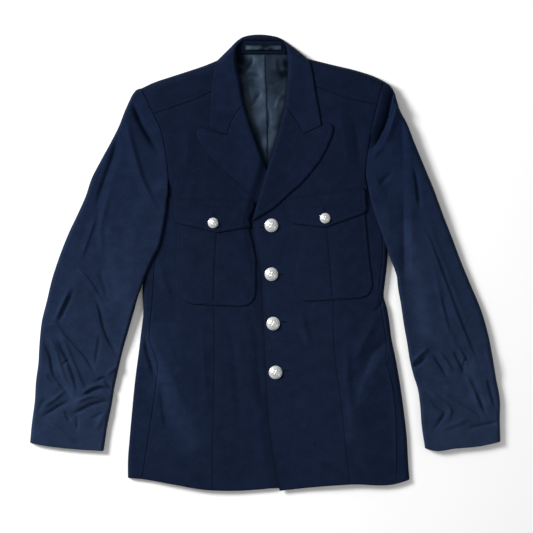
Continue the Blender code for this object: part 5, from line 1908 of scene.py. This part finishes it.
# %% Buttonholes and tacks
HOLES = {
    "front_left": [[(-9, 61), (-3, 61)], [(22, -19.5), (30, -19.5)], [(26, -100), (36, -100)],
                   [(30, -183), (40, -183)]],
    "flap_right": [[(-88, 78), (-88, 85)]],
    "flap_left": [[(99, 86), (99, 94)]],
}
for seed, (name, holes) in enumerate(HOLES.items()):
    face = STITCH_ROWS[name][1]
    lines = [at_heights(smooth_line(hole, 1.0), face, HOLE_LIFT) for hole in holes]
    STITCHES[name + "_hole"] = sew("buttonholes_" + name, lines, HOLE_THREAD, HOLE_SEED + seed,
                                   HOLE_STITCH, 0.5 * math.pi)
for half in (right, left):
    name = half["name"]
    west, east, low, high = TACK_BOXES[name]
    box = cornered_line([(west, low), (east, low), (east, high), (west, high), (west, low)], 2.0)
    face = STITCH_ROWS["pocket_" + name][1]
    lines = [at_heights(box, face, STITCH_LIFT)]
    STITCHES["tack_" + name] = sew("tack_" + name, lines, THREAD, TACK_SEED, TACK_STITCH)
print(len(STITCHES), "sewn pieces")

# %% [markdown]
# ## Studio
#
# The floor is plain and pale. A soft light stands at the left, a little towards the collar and
# low enough for a crease to have a lit side and a dark side. A weak one fills in from the lower
# right. The camera looks straight down.

# %% Floor and lights
FLOOR_HALF = 3.0
FLOOR_DROP = 0.0005
FLOOR_COLOUR = (0.92, 0.92, 0.92, 1.0)
SKY_STRENGTH = 0.38


def make_floor():
    material, tree, shader = new_material("floor")
    set_inputs(tree, shader, [("Base Color", FLOOR_COLOUR), ("Roughness", 0.9)])
    mesh = bpy.data.meshes.new("floor")
    corners = [(-FLOOR_HALF, -FLOOR_HALF), (FLOOR_HALF, -FLOOR_HALF), (FLOOR_HALF, FLOOR_HALF),
               (-FLOOR_HALF, FLOOR_HALF)]
    mesh.from_pydata([(x, y, -FLOOR_DROP) for x, y in corners], [], [(0, 1, 2, 3)])
    mesh.materials.append(material)
    floor = show("floor", mesh)
    floor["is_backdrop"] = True
    return floor


def add_light(name, place, size, power):
    """A square area light that points at the middle of the jacket."""
    data = bpy.data.lights.new(name, "AREA")
    data.size = size
    data.energy = power
    light = show(name, data)
    light.location = place
    light.rotation_euler = (-light.location).to_track_quat("-Z", "Y").to_euler()


FLOOR = make_floor()
add_light("key", (-2.05, 1.0, 1.65), 0.9, 115.0)
add_light("fill", (1.6, -1.2, 2.0), 1.6, 8.0)
world = bpy.data.worlds.new("studio")
world.use_nodes = True
sky = world.node_tree.nodes["Background"]
set_inputs(world.node_tree, sky, [("Color", WHITE), ("Strength", SKY_STRENGTH)])
bpy.context.scene.world = world
bpy.context.scene.view_settings.view_transform = "Standard"

# %% Camera
CAMERA_HEIGHT = 3.0
SEEN_HEIGHT = 0.012      # mean height of the cloth that the camera sees
FRAME_WIDTH = 0.9061
SENSOR_WIDTH = 36.0
FRAME_CENTRE = (0.0017, -0.00595)
data = bpy.data.cameras.new("camera")
data.sensor_width = SENSOR_WIDTH
data.lens = SENSOR_WIDTH * (CAMERA_HEIGHT - SEEN_HEIGHT) / FRAME_WIDTH
camera = show("camera", data)
camera.location = (*FRAME_CENTRE, CAMERA_HEIGHT)
bpy.context.scene.camera = camera
print("lens", round(data.lens, 1), "mm")

# %% [markdown]
#
# Every piece rides on the one body of the jacket and replaces its solid.


for name, (piece, patch) in PIECES.items():
    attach(piece, "root")
    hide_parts(name)
    if name == "hanger_loop":
        continue
for piece in STITCHES.values():
    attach(piece, "root")
for name, piece in BUTTONS.items():
    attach(piece, "root")
    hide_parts(name)

# %% Check the size
VISUAL_BOX = [list(corner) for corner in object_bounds()]
for label, box in (("solids", CAD_BOX), ("dressed", VISUAL_BOX)):
    print(label, [round((high - low) * 1000, 1) for low, high in zip(*box)], "mm")
